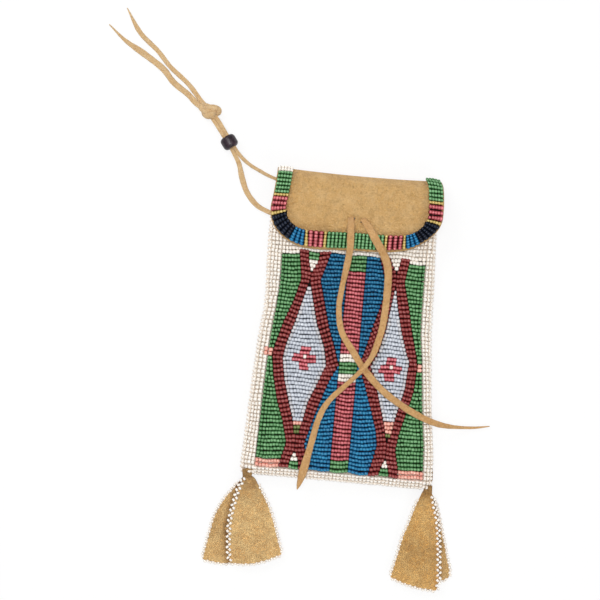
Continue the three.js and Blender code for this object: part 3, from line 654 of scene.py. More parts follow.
def make_hanger():
    knot = make_knot()
    bead = make_thong_bead()
    for name, strand, side, tail, widths, carried in (
            ("hanger_upper_thong", UPPER_STRAND, 1, UPPER_TAIL, UPPER_WIDTHS, [knot]),
            ("hanger_lower_thong", LOWER_STRAND, -1, LOWER_TAIL, LOWER_WIDTHS, [bead])):
        lay_thong(name, hanger_route(strand, side, tail), widths, HANGER_THICKNESS, FLAT, HANGER_FINISH, "pouch",
                  "hanger_thong", HANGER_DIAMETER, with_pieces=carried)


make_hanger()


# Seed beads

def model_seed_bead():
    """One bead of unit size along X, with few faces. Returns its points and faces."""
    bead = rounded_drum(8, 0.5, 1, 0.17, 1, 0.12, 0.7)
    points = np.array([(v.co.z, v.co.x, v.co.y) for v in bead.data.vertices])
    faces = [tuple(p.vertices) for p in bead.data.polygons]
    bpy.data.objects.remove(bead, do_unlink=True)
    return points, faces


# A bead's light scales its painted shade and its random brightness; through it, rows are painted darker at their ends
Bead = namedtuple("Bead", "centre way up length width glass light", defaults=(0.94,))
sewn = {}
BEAD_POINTS, BEAD_FACES = model_seed_bead()
BEAD_RADII = np.hypot(BEAD_POINTS[:, 1], BEAD_POINTS[:, 2])
# Painted shade on each bead, point by point: its crown is painted bright as if lit from above, its flanks and its bore
# are painted dark
BEAD_SHADE = np.clip(-0.7 + 1.7 * BEAD_POINTS[:, 2] / BEAD_RADII, 0, 1) * (0.55 + 0.9 * BEAD_RADII)
# By glass: how narrow the painted highlight on the crown is, how tightly beads sit in a row, and how light they are on
# the band
GLEAM = {"dark_red": 2.6, "rose": 1.8, "green": 1.8, "blue": 1.6, "lower_blue": 1.6, "red": 1.8, "bright_blue": 1.6}
SNUG = {"dark_red": 1.06, "blue": 1.06, "lower_blue": 1.06, "green": 1.02, "rose": 1.02}
BAND_LIGHT = {"green": 1.12}
PLAIN_GLEAM, PLAIN_SNUG, PLAIN_BAND_LIGHT = 1.0, 1.01, 0.98
# Painted shade: rows are painted darker towards their ends
ROW_END_SHADE = 0.5


def settle_beads(name, beads, body, slot, *nodes):
    """Copies of the seed bead, each with a random brightness of its own and a painted shade from crown to rims, as one
    piece that is sewn to a body.
    """
    kinds = sorted({bead.glass for bead in beads})
    points, faces, glass, tones_and_shade = [], [], [], []
    for k, bead in enumerate(beads):
        a = Vector(bead.way).normalized()
        b = Vector(bead.up).cross(a).normalized()
        basis = np.array([a * bead.length, b * bead.width, a.cross(b) * bead.width])
        points.append(BEAD_POINTS @ basis + np.array(bead.centre))
        faces.extend(tuple(v + k * len(BEAD_POINTS) for v in face) for face in BEAD_FACES)
        glass.extend([kinds.index(bead.glass)] * len(BEAD_FACES))
        tones_and_shade.extend(BEAD_SHADE ** GLEAM.get(bead.glass, PLAIN_GLEAM) * dice.uniform(0.66, 1.06) * bead.light)
    piece = mesh_piece(name, np.vstack(points), faces)
    tone_and_shade = piece.data.attributes.new("tone_and_shade", "FLOAT", "POINT")
    tone_and_shade.data.foreach_set("value", tones_and_shade)
    if body in ("flap", None):
        lay_askew(piece)
    settle(piece, [GLASS[kind] for kind in kinds], body, slot, *nodes)
    piece.data.polygons.foreach_set("material_index", glass)
    sewn.setdefault(body, []).append(piece)
    return piece


def along(way, up):
    """The part of a way that lies across an up side, as a bead's bore does."""
    return way - up * way.dot(up)


def bead_row(left, right, level, lean, hump, paint, bow=0.0, plump=1.0):
    """One row strung across the front: it leans, bows and rises in its middle, and its beads differ a little."""
    width = right - left
    count = max(1, round(width / BEAD_LENGTH))
    lengths = [dice.uniform(0.86, 1.14) for _ in range(count)]
    drift = jitter(0.07)
    beads = []
    done = 0.0
    for i in range(count):
        share = lengths[i] / sum(lengths)
        u = done + share / 2
        done += share
        x = left + u * width
        arch = 4 * u * (1 - u)
        sway = 0.2 * math.sin(0.42 * x + 0.13 * level + 1.0) + 0.08 * math.sin(1.1 * x + 0.9 * level)
        y = level + lean * (x - (left + right) / 2) + bow * (arch - 0.6) + drift + sway + jitter(0.06)
        size = dice.uniform(0.93, 1.05)
        up = normal_of(front_height, x, y)
        centre = Vector((x, y, front_height(x, y))) + up * (BEAD_WIDTH / 2 + hump * (arch - 0.75))
        way = along(Vector((1, lean + bow * 4 * (1 - 2 * u) / width + jitter(0.06), 0)), up)
        glass = paint(level, i, count)
        length = share * width * SNUG.get(glass, PLAIN_SNUG)
        # Painted shade: the row is painted darker towards its ends
        light = 1 - ROW_END_SHADE * (1 - arch) ** 2
        beads.append(Bead(centre, way, up, length, BEAD_WIDTH * size * plump, glass, light))
    return beads


# Edges of the pattern on the front, as levels and places across: the two sides of each lane of the lattices
L1 = profile([
    (33.4, -24.6), (20, -22.5), (10, -25.2), (0, -28.8), (-10, -31.6), (-15, -32.4), (-25, -31), (-35, -28.6),
    (-45, -25), (-54, -22.7), (-65.3, -25.5),
])
L2 = profile([
    (33.4, -20.2), (29, -20), (22.8, -18.4), (19.6, -18.6), (10, -21.2), (0, -23.8), (-10, -26.7), (-16, -27.7),
    (-25, -26.2), (-35, -23.3), (-43, -20.8), (-46.3, -20.2), (-48.7, -19.8), (-50, -18.7), (-57, -18.7),
    (-61.5, -20.5), (-65.3, -20.8),
])
L3 = profile([
    (33.4, -15.3), (29, -15.5), (22.8, -18.4), (19.6, -18.6), (10, -16.3), (0, -13.7), (-10, -9.6), (-18, -8),
    (-25, -10.8), (-35, -14.7), (-43, -16.1), (-46.3, -17), (-48.7, -17.4), (-50, -18.7), (-57, -18.7),
    (-61.5, -16.6), (-65.3, -16.4),
])
L4 = profile([
    (33.4, -10), (20.5, -13.9), (10, -11), (0, -8.3), (-10, -4.5), (-17, -2.4), (-25, -6), (-35, -9.5),
    (-45, -12.3), (-54, -14.6), (-65.3, -11.7),
])
R1 = profile([
    (33.4, 11.5), (27, 13.8), (21, 15.4), (16, 15.2), (10, 13.8), (0, 11), (-10, 8.7), (-17, 6.6), (-25, 10),
    (-35, 13.5), (-45, 16.8), (-52, 18), (-65.3, 15),
])
R2 = profile([
    (33.4, 16.3), (30, 17.6), (26, 20), (20.6, 20), (10, 18.5), (0, 17.3), (-10, 14.8), (-16.5, 11.8),
    (-20.5, 14.2), (-25, 15.3), (-30, 16.8), (-35, 18.3), (-40, 19.8), (-44.5, 21), (-47.5, 21.4), (-49, 22.3),
    (-57, 22.3), (-61.5, 20.6), (-65.3, 19.6),
])
R3 = profile([
    (33.4, 21.5), (30, 21), (26, 20), (20.6, 20), (10, 22), (0, 24.5), (-10, 27.8), (-13, 29.2), (-16.5, 28.8),
    (-25, 28.3), (-30, 27.2), (-35, 26), (-40, 24.8), (-44.5, 24.2), (-47.5, 23.4), (-49, 22.3), (-57, 22.3),
    (-61.5, 23.8), (-65.3, 24.6),
])
R4 = profile([
    (33.4, 25.5), (22, 23.8), (10, 27.0), (0, 29.2), (-10, 31.9), (-15, 32.8), (-25, 32.3), (-30, 31.4),
    (-40, 28.9), (-46, 27.4), (-53, 26.4), (-60, 28), (-65.3, 28.9),
])
STRIPE_LEFT, STRIPE_RIGHT = -2.2, 6.0
TIP_LEVEL = -16.0
PINK_BAR_TOP = FIELD_BOTTOM + 2 * ROW
WHITE_FROM = 31.2
PINK_MARKS = {"left": (-15.4, -12.6), "right": (-17.0, -13.0)}
GREEN_AT_CENTRE = (-20.6, -15.0)

# The lattices' lanes: their two sides, and how their rows lean at each level
LANES = {
    "left_lattice_lane_a": (L1, L2, [(33, -0.05), (20, -0.12), (8, -0.22), (-8, -0.18), (-15, 0.0), (-22, 0.2),
                                     (-35, 0.28), (-48, 0.2), (-54, 0.05), (-65, 0.0)]),
    "left_lattice_lane_b": (L3, L4, [(33, 0.15), (20, 0.3), (10, 0.45), (-8, 0.5), (-15, 0.65), (-19, 0.3),
                                     (-24, -0.1), (-40, -0.15), (-54, 0.0), (-65, 0.0)]),
    "right_lattice_lane_a": (R1, R2, [(33, 0.0), (15, 0.3), (0, 0.5), (-12, 0.5), (-18, 0.1), (-30, 0.0),
                                      (-38, 0.3), (-45, 0.4), (-55, 0.15), (-65, 0.1)]),
    "right_lattice_lane_b": (R3, R4, [(33, 0.0), (20, 0.0), (0, 0.05), (-10, -0.08), (-16, 0.05), (-25, -0.1),
                                      (-42, -0.22), (-52, -0.05), (-65, 0.0)]),
}
SLIGHT_LEANS = [(33, 0.02), (0, 0.03), (-30, 0.0), (-50, 0.06), (-65, 0.0)]
LEVEL = [(0, 0.0)]

# How much the rows rise in their middle
NARROW_HUMP, BORDER_HUMP, LANE_HUMP, FIELD_HUMP = 0.1, 0.12, 0.2, 0.3
ROW_GAP = 0.05


# A paint gives a bead its glass, by its row's level, its place in the row and the row's count

def plain(glass):
    return lambda level, i, count: glass


def split(at, upper, lower):
    return lambda level, i, count: upper if level > at else lower


def marked_green(mark):
    return lambda level, i, count: ("white" if level > WHITE_FROM else
                                    "pink" if mark[0] < level < mark[1] else "green")


def diamond_fill(milk_from):
    return lambda level, i, count: "milk" if level > milk_from or (count > 3 and i in (0, count - 1)) else "pale"


def left_border(level, i, count):
    low, high = PINK_MARKS["left"]
    return "pink" if low < level < high and i == count - 1 else "white"


def stripe_centre(level, i, count):
    return "green" if GREEN_AT_CENTRE[0] < level < GREEN_AT_CENTRE[1] else "white"


def levels(low, high, pitch=ROW):
    first = round((low - FIELD_BOTTOM) / pitch)
    last = round((high - FIELD_BOTTOM) / pitch)
    return [FIELD_BOTTOM + (k + 0.5) * pitch for k in range(first, last)]


def field(node, slot, left, right, low, high, paint, leans=LEVEL, hump=FIELD_HUMP, bow=0.0, pitch=ROW, plump=1.05):
    """All rows of one colour field of the front, as one piece on the pouch."""
    beads = []
    lean = profile(leans)
    for level in levels(low, high, pitch):
        tilt = lean(level) * (right(level) - left(level)) / 2
        a, b = left(level - tilt) + ROW_GAP, right(level + tilt) - ROW_GAP
        if b - a > 0.5:
            beads += bead_row(a, b, level, lean(level), hump, paint, bow, plump)
    settle_beads(node + "_beads", beads, "pouch", slot, node)


def crossed_fill(side, left, right, low, high, cross_x, cross_row, half_width, paint):
    """The diamond's fill with its small cross: two wide rows, and two short ones above and below them."""
    short_half, heart = 2.1, 0.75
    cross_y = FIELD_BOTTOM + cross_row * ROW
    fill, cross = [], []
    for level in levels(low, high):
        a, b = left(level) + ROW_GAP, right(level) - ROW_GAP
        if b - a < 0.8:
            continue
        rows_off = abs(level - cross_y) / ROW
        arm = half_width if rows_off < 1 else short_half
        for bead in bead_row(a, b, level, 0.0, FIELD_HUMP, paint, plump=1.06):
            reach = abs(bead.centre.x - cross_x)
            if rows_off < 3 and reach < arm:
                in_heart = 0 < level - cross_y < ROW and reach < heart
                cross.append(bead._replace(glass="white" if in_heart else "red"))
            else:
                fill.append(bead)
    settle_beads(side + "_diamond_fill_beads", fill, "pouch", "pale_bead", side + "_diamond_fill")
    settle_beads(side + "_diamond_cross_beads", cross, "pouch", "red_bead", side + "_diamond_cross")


def make_bottom_border():
    """The bottom border is sewn in short upright rows of three beads."""
    left, right = field_left(FIELD_BOTTOM) - 0.6, field_right(FIELD_BOTTOM) + 0.4
    count = round((right - left) / 1.7)
    pitch = (right - left) / count
    tall = (BORDER_BOTTOM - 0.4) / 3
    beads = []
    for k in range(count):
        drift = jitter(0.12)
        for i in range(3):
            x = left + (k + 0.5) * pitch + jitter(0.06)
            y = FIELD_BOTTOM - (i + 0.5) * tall + drift
            up = normal_of(front_height, x, y)
            centre = Vector((x, y, front_height(x, y))) + up * 0.8
            way = along(Vector((jitter(0.06), 1, 0)), up)
            beads.append(Bead(centre, way, up, tall * 1.02, ROW * dice.uniform(0.94, 1.04), "white"))
    settle_beads("border_bottom_beads", beads, "pouch", "white_bead", "border_bottom")


def make_front_beadwork():
    rim, border_foot = 0.45, FIELD_BOTTOM - 2 * ROW
    border = {"hump": BORDER_HUMP, "plump": 1.07}
    field("border_left", "white_bead", lambda y: edge_left(y) + rim, field_left, border_foot, BEAD_TOP, left_border,
          **border)
    field("border_right", "white_bead", field_right, lambda y: edge_right(y) - rim, border_foot, BEAD_TOP,
          plain("white"), **border)
    make_bottom_border()
    field("border_top", "white_bead", field_left, field_right, FIELD_TOP, BEAD_TOP, plain("white"), hump=LANE_HUMP)
    for node, (left, right, leans) in LANES.items():
        field(node, "dark_red_bead", left, right, FIELD_BOTTOM, FIELD_TOP, plain("dark_red"), leans, LANE_HUMP,
              pitch=LANE_ROW, plump=1.16)
    crossed_fill("left", L2, L3, -43.0, 17.2, -17.9, 28, 5.3, diamond_fill(12.5))
    crossed_fill("right", R2, R3, -41.2, 18.8, 20.7, 27, 4.8, diamond_fill(14.5))
    for node, slot, left, right, low, high, paint in (
            ("left_diamond_tip", "pink_bead", L2, L3, -48.9, -43.0, split(-46.4, "pink", "olive")),
            ("right_diamond_tip", "pink_bead", R2, R3, -47.6, -41.2, split(-44.8, "pink", "olive")),
            ("left_top_gusset", "green_bead", L2, L3, 22.6, FIELD_TOP, split(28.6, "green", "white")),
            ("right_top_gusset", "green_bead", R2, R3, 25.6, FIELD_TOP, split(33.0, "green", "white")),
            ("left_bottom_gusset", "green_bead", L2, L3, FIELD_BOTTOM, -56.8, split(-61.6, "white", "green")),
            ("right_bottom_gusset", "green_bead", R2, R3, FIELD_BOTTOM, -56.8, split(-61.6, "white", "green"))):
        field(node, slot, left, right, low, high, paint, hump=NARROW_HUMP)
    for side, left, right, upper_bow, lower_bow in (("left", field_left, L1, -0.12, -0.25),
                                                    ("right", R4, field_right, -0.15, -0.35)):
        paint = marked_green(PINK_MARKS[side])
        field(side + "_green_upper", "green_bead", left, right, TIP_LEVEL, FIELD_TOP, paint, SLIGHT_LEANS,
              bow=upper_bow)
        field(side + "_green_lower", "green_bead", left, right, PINK_BAR_TOP, TIP_LEVEL, paint, SLIGHT_LEANS,
              bow=lower_bow)
        field(side + "_pink_bar", "pink_bead", left, right, FIELD_BOTTOM, PINK_BAR_TOP, plain("pink"),
              hump=NARROW_HUMP)
    stripe = (lambda y: STRIPE_LEFT), (lambda y: STRIPE_RIGHT)
    for side, left, right, upper_bow, lower_bow in (("left", L4, stripe[0], -0.1, -0.35),
                                                    ("right", stripe[1], R1, 0.1, -0.4)):
        field(side + "_blue_upper", "blue_bead", left, right, TIP_LEVEL, FIELD_TOP, plain("blue"), SLIGHT_LEANS,
              bow=upper_bow)
        field(side + "_blue_lower", "blue_bead", left, right, FIELD_BOTTOM, TIP_LEVEL, plain("lower_blue"),
              SLIGHT_LEANS, bow=lower_bow)
    for node, slot, low, high, paint in (
            ("stripe_bottom_cap", "green_bead", FIELD_BOTTOM, -59.9, plain("green")),
            ("stripe_rose_lower", "rose_bead", -59.9, -23.8, plain("rose")),
            ("stripe_centre", "white_bead", -23.8, -11.4, stripe_centre),
            ("stripe_rose_upper", "rose_bead", -11.4, 26.28, plain("rose")),
            ("stripe_top_cap", "green_bead", 26.28, FIELD_TOP, plain("green"))):
        field(node, slot, *stripe, low, high, paint, bow=-0.4 if high < TIP_LEVEL else 0.15)


make_front_beadwork()


# The flap's beaded band

BAND_HALF = FLAP_HALF - BAND_RIM - BAND / 2
BAND_FOOT = FLAP_BOTTOM + BAND_RIM + BAND / 2
BAND_TURN = FLAP_CORNER - BAND_RIM - BAND / 2
BAND_SIDE = HINGE_Y - BAND_FOOT - BAND_TURN
BAND_ARC = BAND_TURN * math.pi / 2
BAND_STRETCH = 1.016
BAND_ALL = 2 * (BAND_SIDE + BAND_ARC + BAND_HALF - BAND_TURN)
BAND_COUNT, BAND_FIT, BAND_LIFT = 5, 0.98, 0.55
BAND_WIDEST, YELLOW_WIDTH = 2.2, 1.35


def band_place(s):
    """The middle of the band at a distance from the fold on the left: place, way inwards, and the rows' fan."""
    mirrored = s > BAND_ALL / 2
    t = BAND_ALL - s if mirrored else s
    fan = 0.0
    if t < BAND_SIDE:
        x, y, inward = -BAND_HALF, HINGE_Y - t, (1.0, 0.0)
    elif t < BAND_SIDE + BAND_ARC:
        a = (t - BAND_SIDE) / BAND_TURN
        x = -BAND_HALF + BAND_TURN * (1 - math.cos(a))
        y = BAND_FOOT + BAND_TURN * (1 - math.sin(a))
        inward = (math.cos(a), math.sin(a))
        fan = BAND / BAND_TURN
    else:
        x, y, inward = -BAND_HALF + BAND_TURN + t - BAND_SIDE - BAND_ARC, BAND_FOOT, (0.0, 1.0)
    x *= BAND_STRETCH
    return (-x, y, (-inward[0], inward[1]), fan) if mirrored else (x, y, inward, fan)


def band_bead(centre, way, up, width, glass):
    light = BAND_LIGHT.get(glass, PLAIN_BAND_LIGHT)
    return Bead(centre, way, up, BAND / BAND_COUNT * BAND_FIT, width, glass, light)


def band_row(s, width, glass):
    """One row across the band, from its outer to its inner side."""
    x, y, inward, fan = band_place(s)
    beads = []
    skew = jitter(0.05)
    for i in range(BAND_COUNT):
        f = (i + 0.5) / BAND_COUNT - 0.5
        px = x + inward[0] * f * BAND - inward[1] * skew * f
        py = y + inward[1] * f * BAND + inward[0] * skew * f
        up = normal_of(flap_height, px, py)
        centre = Vector((px, py, flap_height(px, py))) + up * (BAND_LIFT + 0.35 * (1 - 4 * f * f))
        size = dice.uniform(0.95, 1.05)
        beads.append(band_bead(centre, along(Vector((*inward, 0)), up), up, width * size * (1 - fan * f), glass))
    return beads


def fold_row(x, turn, glass, lean):
    """One row of the band that lies on the curl of the fold."""
    beads = []
    for i in range(BAND_COUNT):
        f = (i + 0.5) / BAND_COUNT - 0.5
        a = turn + lean * f
        up = Vector((0, math.sin(a), math.cos(a)))
        reach = FOLD_RADIUS + BAND_LIFT + 0.3 * (1 - 4 * f * f)
        centre = Vector((x + f * BAND, HINGE_Y, FOLD_RADIUS)) + up * reach
        way = Vector((1, lean * math.cos(a) * 0.9, -lean * math.sin(a) * 0.9))
        beads.append(band_bead(centre, way, up, FINE_ROW * dice.uniform(0.95, 1.05), glass))
    return beads


def make_band():
    """The band's blocks: start, end and rows of each along the band, and the single yellow rows beside it."""
    end = BAND_ALL
    blocks = (
        ("left_green", "green", -0.9, 5.7, 4, ()),
        ("left_upper_rose", "rose", 7.1, 13.6, 3, (6.4,)),
        ("left_navy", "navy", 15.0, 24.8, 5, (14.3,)),
        ("left_blue", "bright_blue", 24.8, 30.2, 3, ()),
        ("left_lower_rose", "rose", 31.7, 38.3, 3, (31.0,)),
        ("middle_green", "green", 39.8, end - 39.8, round((end - 79.6) / FINE_ROW), (39.0, end - 39.0)),
        ("right_lower_rose", "rose", end - 38.3, end - 31.1, 3, ()),
        ("right_blue", "bright_blue", end - 29.6, end - 23.8, 3, (end - 30.4,)),
        ("right_navy", "navy", end - 23.8, end - 13.9, 5, ()),
        ("right_upper_rose", "rose", end - 12.5, end - 4.7, 3, (end - 13.2,)),
        ("right_green", "green", end - 3.3, end + 0.1, 2, (end - 4.0,)),
    )
    for place, glass, start, stop, rows, yellow in blocks:
        pitch = (stop - start) / rows
        beads = []
        for i in range(rows):
            beads += band_row(start + (i + 0.5) * pitch, min(BAND_WIDEST, pitch), glass)
        for s in yellow:
            beads += band_row(s, YELLOW_WIDTH, "yellow")
        settle_beads(f"flap_{place}_beads", beads, "flap", glass + "_bead", "flap_" + place)
    beads = []
    pitch = FINE_ROW / (FOLD_RADIUS + 0.6)
    side = BAND_HALF * BAND_STRETCH
    for k in range(4):
        beads += fold_row(-side, (k + 1) * pitch, "green" if k < 2 else "white", 0.0)
    for k in range(5):
        beads += fold_row(side, (k + 0.55) * pitch, "green", -0.16 * min(1, k / 2))
    piece = settle_beads("fold_beads", beads, None, "green_bead")
    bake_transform(piece)


make_band()


# Hide

SHADED, PAINTED_LIGHT = 1, 2
TIE_SLOTS = ((-2.5, 48.8, 0.0), (2.9, 48.2, 0.5))
# Where painted shade darkens the flap around the ties' slots
SLOT_SHADE = ((-1.6, 49.4), (1.7, 48.3))
WRAP_STOPS = (0.34, 0.52, 0.66)


def hide_sheet(name, columns, rows, shape, soil_and_shade):
    """A sheet of hide: a fine grid shaped point by point on its outer face. Its darkening function says where use has
    darkened it and where painted shade is laid.
    """
    clear_selection()
    bpy.ops.mesh.primitive_grid_add(x_subdivisions=columns, y_subdivisions=rows, size=1)
    sheet = bpy.context.object
    sheet.name = name
    for vertex in sheet.data.vertices:
        vertex.co = Vector(shape(vertex.co.x + 0.5, vertex.co.y + 0.5)) * MM
    dark = sheet.data.attributes.new("soil_and_shade", "FLOAT", "POINT")
    dark.data.foreach_set("value", [soil_and_shade(*(v.co / MM)) for v in sheet.data.vertices])
    return sheet


def area_of(sheet):
    return sum(face.area for face in sheet.data.polygons)


def thicken(sheet, thickness, offset):
    wall = sheet.modifiers.new("wall", "SOLIDIFY")
    wall.thickness = thickness * MM
    wall.offset = offset
    wall.use_even_offset = True
    apply_modifiers(sheet)
    bpy.ops.object.shade_smooth_by_angle(angle=math.radians(50))


def make_front_hide():
    def shape(u, v):
        y = BOTTOM + (MOUTH_Y - BOTTOM) * v
        left, right = edge_left(y), edge_right(y)
        x = left + (right - left) * u
        lip = 0.5 * step((v - 0.93) / 0.07) * math.sin(u * 9.0)
        return x, y, front_height(x, y) - 0.05 + lip
    sheet = hide_sheet("front_hide", 60, 84, shape, lambda x, y, z: 0.2)
    area = area_of(sheet)
    thicken(sheet, HIDE, -1)
    settle(sheet, [HIDE_FINISH, SHADED_GROUND, PAINTED_LIGHT_GROUND], "pouch", "hide", "front_panel")
    # Painted shade under the coloured fields, painted light under the white beads and the pink bars
    for face in sheet.data.polygons:
        x, y = face.center.xy / MM
        if face.normal.z > 0.2 and y < BEAD_TOP - 1:
            coloured = field_left(y) < x < field_right(y) and FIELD_BOTTOM < y < FIELD_TOP
            pink_bar = y < FIELD_BOTTOM + 1.8 * ROW and (x < -24 or x > 29)
            face.material_index = SHADED if coloured and not pink_bar else PAINTED_LIGHT
    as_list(sewn["pouch"])


def cut_slot(sheet, x, y, turn):
    """Cuts a short slot through the flap for a tie."""
    clear_selection()
    bpy.ops.mesh.primitive_cylinder_add(vertices=20, radius=1 * MM, depth=6 * MM,
                                        location=(x * MM, y * MM, FLAP_TOP * MM), rotation=(0, 0, turn))
    cutter = bpy.context.object
    cutter.scale = (1.6, 0.75, 1)
    bpy.ops.object.transform_apply(location=False, rotation=False, scale=True)
    cut = sheet.modifiers.new("slot", "BOOLEAN")
    cut.operation = "DIFFERENCE"
    cut.object = cutter
    apply_modifiers(sheet)
    bpy.data.objects.remove(cutter, do_unlink=True)


def wrap_shape(u, v):
    """A point of the wrap, from the bottom of the back up, over the fold and down to the flap's rim."""
    fold_from, flap_from, corner_from = WRAP_STOPS
    if v < fold_from:
        y = BOTTOM + (HINGE_Y - BOTTOM) * v / fold_from
        left, right = edge_left(y), edge_right(y)
        reach = step((y - WRAP_WIDENS) / (HINGE_Y - WRAP_WIDENS))
        left += (-FLAP_HALF - left) * reach
        right += (FLAP_HALF - right) * reach + 1.2 * math.exp(-((y + 63.5) / 3.5) ** 2)
        return left + (right - left) * u, y, 0.0
    half = FLAP_HALF
    if v < flap_from:
        a = math.pi * (v - fold_from) / (flap_from - fold_from)
        inset = 0.9 * (1 - (2 * u - 1) ** 2) * math.sin(a)
        return half * (2 * u - 1), HINGE_Y + (FOLD_RADIUS - inset) * math.sin(a), FOLD_RADIUS * (1 - math.cos(a))
    if v < corner_from:
        straight = HINGE_Y - (FLAP_BOTTOM + FLAP_CORNER)
        y = HINGE_Y - straight * (v - flap_from) / (corner_from - flap_from)
    else:
        a = math.pi / 2 * (v - corner_from) / (1 - corner_from)
        y = FLAP_BOTTOM + FLAP_CORNER * (1 - math.sin(a))
        half = FLAP_HALF - FLAP_CORNER * (1 - math.cos(a))
    x = half * (2 * u - 1)
    return x, y, flap_height(x, y)


def wrap_soil_and_shade(x, y, z):
    """The back is soiled along its edges. The flap gets painted shade around the ties' slots, and is darker beside the
    band.
    """
    if z < FOLD_RADIUS:
        inwards = min(x - edge_left(y), edge_right(y) - x, y - BOTTOM)
        return 0.55 * (1 - step(inwards / 9)) + 0.15 * (1 + math.sin(x * 0.13 + y * 0.09)) / 2
    slots = sum(math.exp(-((x - sx) ** 2 + (y - sy) ** 2) / 2.4) for sx, sy in SLOT_SHADE)
    inwards = flap_rim(x, min(y, HINGE_Y)) - BAND_RIM - BAND
    return min(1.0, 0.6 * slots + 0.3 * (1 - step(inwards / 4)))


def make_wrap():
    """One hide for the back, the fold and the flap: it runs up the back, curls over and lies on the front."""
    sheet = hide_sheet("back_and_flap_hide", 72, 100, wrap_shape, wrap_soil_and_shade)
    area = area_of(sheet)
    thicken(sheet, HIDE, 1)
    for x, y, turn in TIE_SLOTS:
        cut_slot(sheet, x, y, turn)
    settle(sheet, [HIDE_FINISH, SHADED_GROUND], None, "hide", "back_panel", "flap_fold", "flap_panel")
    # Painted shade: the hide under the band's beads and on the fold gets the near-black ground
    inner = BAND_RIM + BAND - 0.7
    for face in sheet.data.polygons:
        x, y, z = face.center / MM
        if y < HINGE_Y:
            beaded = face.normal.z > 0.5 and z > FOLD_RADIUS * 1.6 and 1.1 < flap_rim(x, y) < inner
        else:
            outside = math.hypot(y - HINGE_Y, z - FOLD_RADIUS) > FOLD_RADIUS - 0.3
            beaded = outside and z > FOLD_RADIUS * 1.2 and FLAP_HALF - inner < abs(x) < FLAP_HALF - 1.2
        if beaded:
            face.material_index = SHADED
    lay_askew(sheet)
    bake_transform(sheet)
    [piece for body in ("flap", None) for piece in sewn.get(body, [])]


make_front_hide()
make_wrap()


# Dangles: the outlines of their leaves, from the neck down

LEFT_SEAM = [(-40.2, -70.9), (-40.9, -72.9), (-42.0, -76.1), (-43.0, -79.7), (-43.6, -82.9), (-44.4, -87.4),
             (-45.0, -92.3), (-44.9, -96.8), (-44.6, -102.0), (-43.9, -107.5), (-43.1, -110.8)]
LEFT_FRONT_EDGE = [(-37.3, -70.7), (-35.5, -71.7), (-33.0, -75.7), (-30.6, -79.6), (-28.1, -83.9), (-25.5, -89.9),
                   (-23.2, -96.6), (-20.2, -105.0)]
LEFT_FRONT_FOOT = [(-43.1, -110.8), (-37.5, -110.7), (-32.7, -110.1), (-28.6, -108.8), (-23.3, -106.6),
                   (-20.2, -105.0)]
LEFT_BACK_EDGE = [(-40.4, -70.9), (-41.6, -72.7), (-44.9, -77.8), (-48.3, -82.6), (-50.7, -87.3), (-52.1, -90.9),
                  (-53.3, -96.9), (-54.6, -103.6), (-55.7, -110.6)]
LEFT_BACK_INNER = [(-37.8, -71.2), (-37.6, -76.0), (-37.4, -90.0), (-36.5, -108.9)]
LEFT_BACK_FOOT = [(-55.7, -110.6), (-50.6, -111.3), (-45.4, -111.5), (-40.0, -110.4), (-36.5, -108.9)]
RIGHT_SEAM = [(44.6, -70.6), (45.7, -73.0), (46.6, -76.7), (48.0, -81.1), (49.2, -86.3), (49.8, -90.7),
              (50.4, -95.6), (50.9, -101.2), (51.6, -108.6), (51.6, -112.4), (50.9, -115.0)]
RIGHT_FRONT_EDGE = [(40.8, -70.5), (40.2, -71.8), (39.0, -75.2), (37.5, -79.8), (36.1, -85.2), (34.0, -91.4),
                    (32.7, -97.6), (31.4, -103.7), (29.8, -110.8)]
RIGHT_FRONT_FOOT = [(29.8, -110.8), (37.9, -113.3), (44.8, -114.5), (50.9, -115.0)]
RIGHT_BACK_EDGE = [(44.6, -71.4), (46.3, -73.6), (48.9, -80.7), (50.5, -86.2), (52.7, -93.5), (54.6, -100.1),
                   (56.2, -105.2), (56.2, -109.0)]
RIGHT_BACK_INNER = [(42.6, -71.4), (42.6, -76.0), (43.4, -90.0), (45.5, -109.5)]
RIGHT_BACK_FOOT = [(45.5, -109.5), (52.7, -110.4), (56.2, -109.0)]
LEAF_HIDE, LEAF_GATHER = 1.0, 1.6
BACK_LEAF, FRONT_LEAF = (1.15, 0.1), (2.8, 1.6)
TRIM_PITCH = 1.15
SEAM_LENGTH, SEAM_WIDTH, SEAM_SWAY, SEAM_TURN, SEAM_LIFT = 1.42, 1.16, 0.55, 50, 0.55
RIM_SIZE, RIM_FLOOR, RIM_TOP, RIM_DROP = 1.15, 0.72, -74.4, 0.4


def flat_path(line, count):
    return smooth_path([(*p, 0) for p in line], count)


def ruled(first, second, foot):
    """A leaf between two edges, each a list of places from the neck down, closed by a foot line."""
    a, b, c = (flat_path(line, 60)[:, :2] for line in (first, second, foot))

    def at(line, t):
        k = t * (len(line) - 1)
        return np.array([np.interp(k, range(len(line)), line[:, i]) for i in (0, 1)])

    def place(u, v):
        p = at(a, v) * (1 - u) + at(b, v) * u
        chord = a[-1] * (1 - u) + b[-1] * u
        return p + (at(c, u) - chord) * v ** 4
    return place


def trim_places(line):
    """Places for beads along a line: number, place, the line's way there, and its share of the line."""
    path = flat_path(line, max(4, round(path_length(flat_path(line, 80)) / TRIM_PITCH)))
    for k in range(1, len(path) - 1):
        way = path[k + 1] - path[k - 1]
        yield k, path[k], way / np.linalg.norm(way), k / (len(path) - 1)


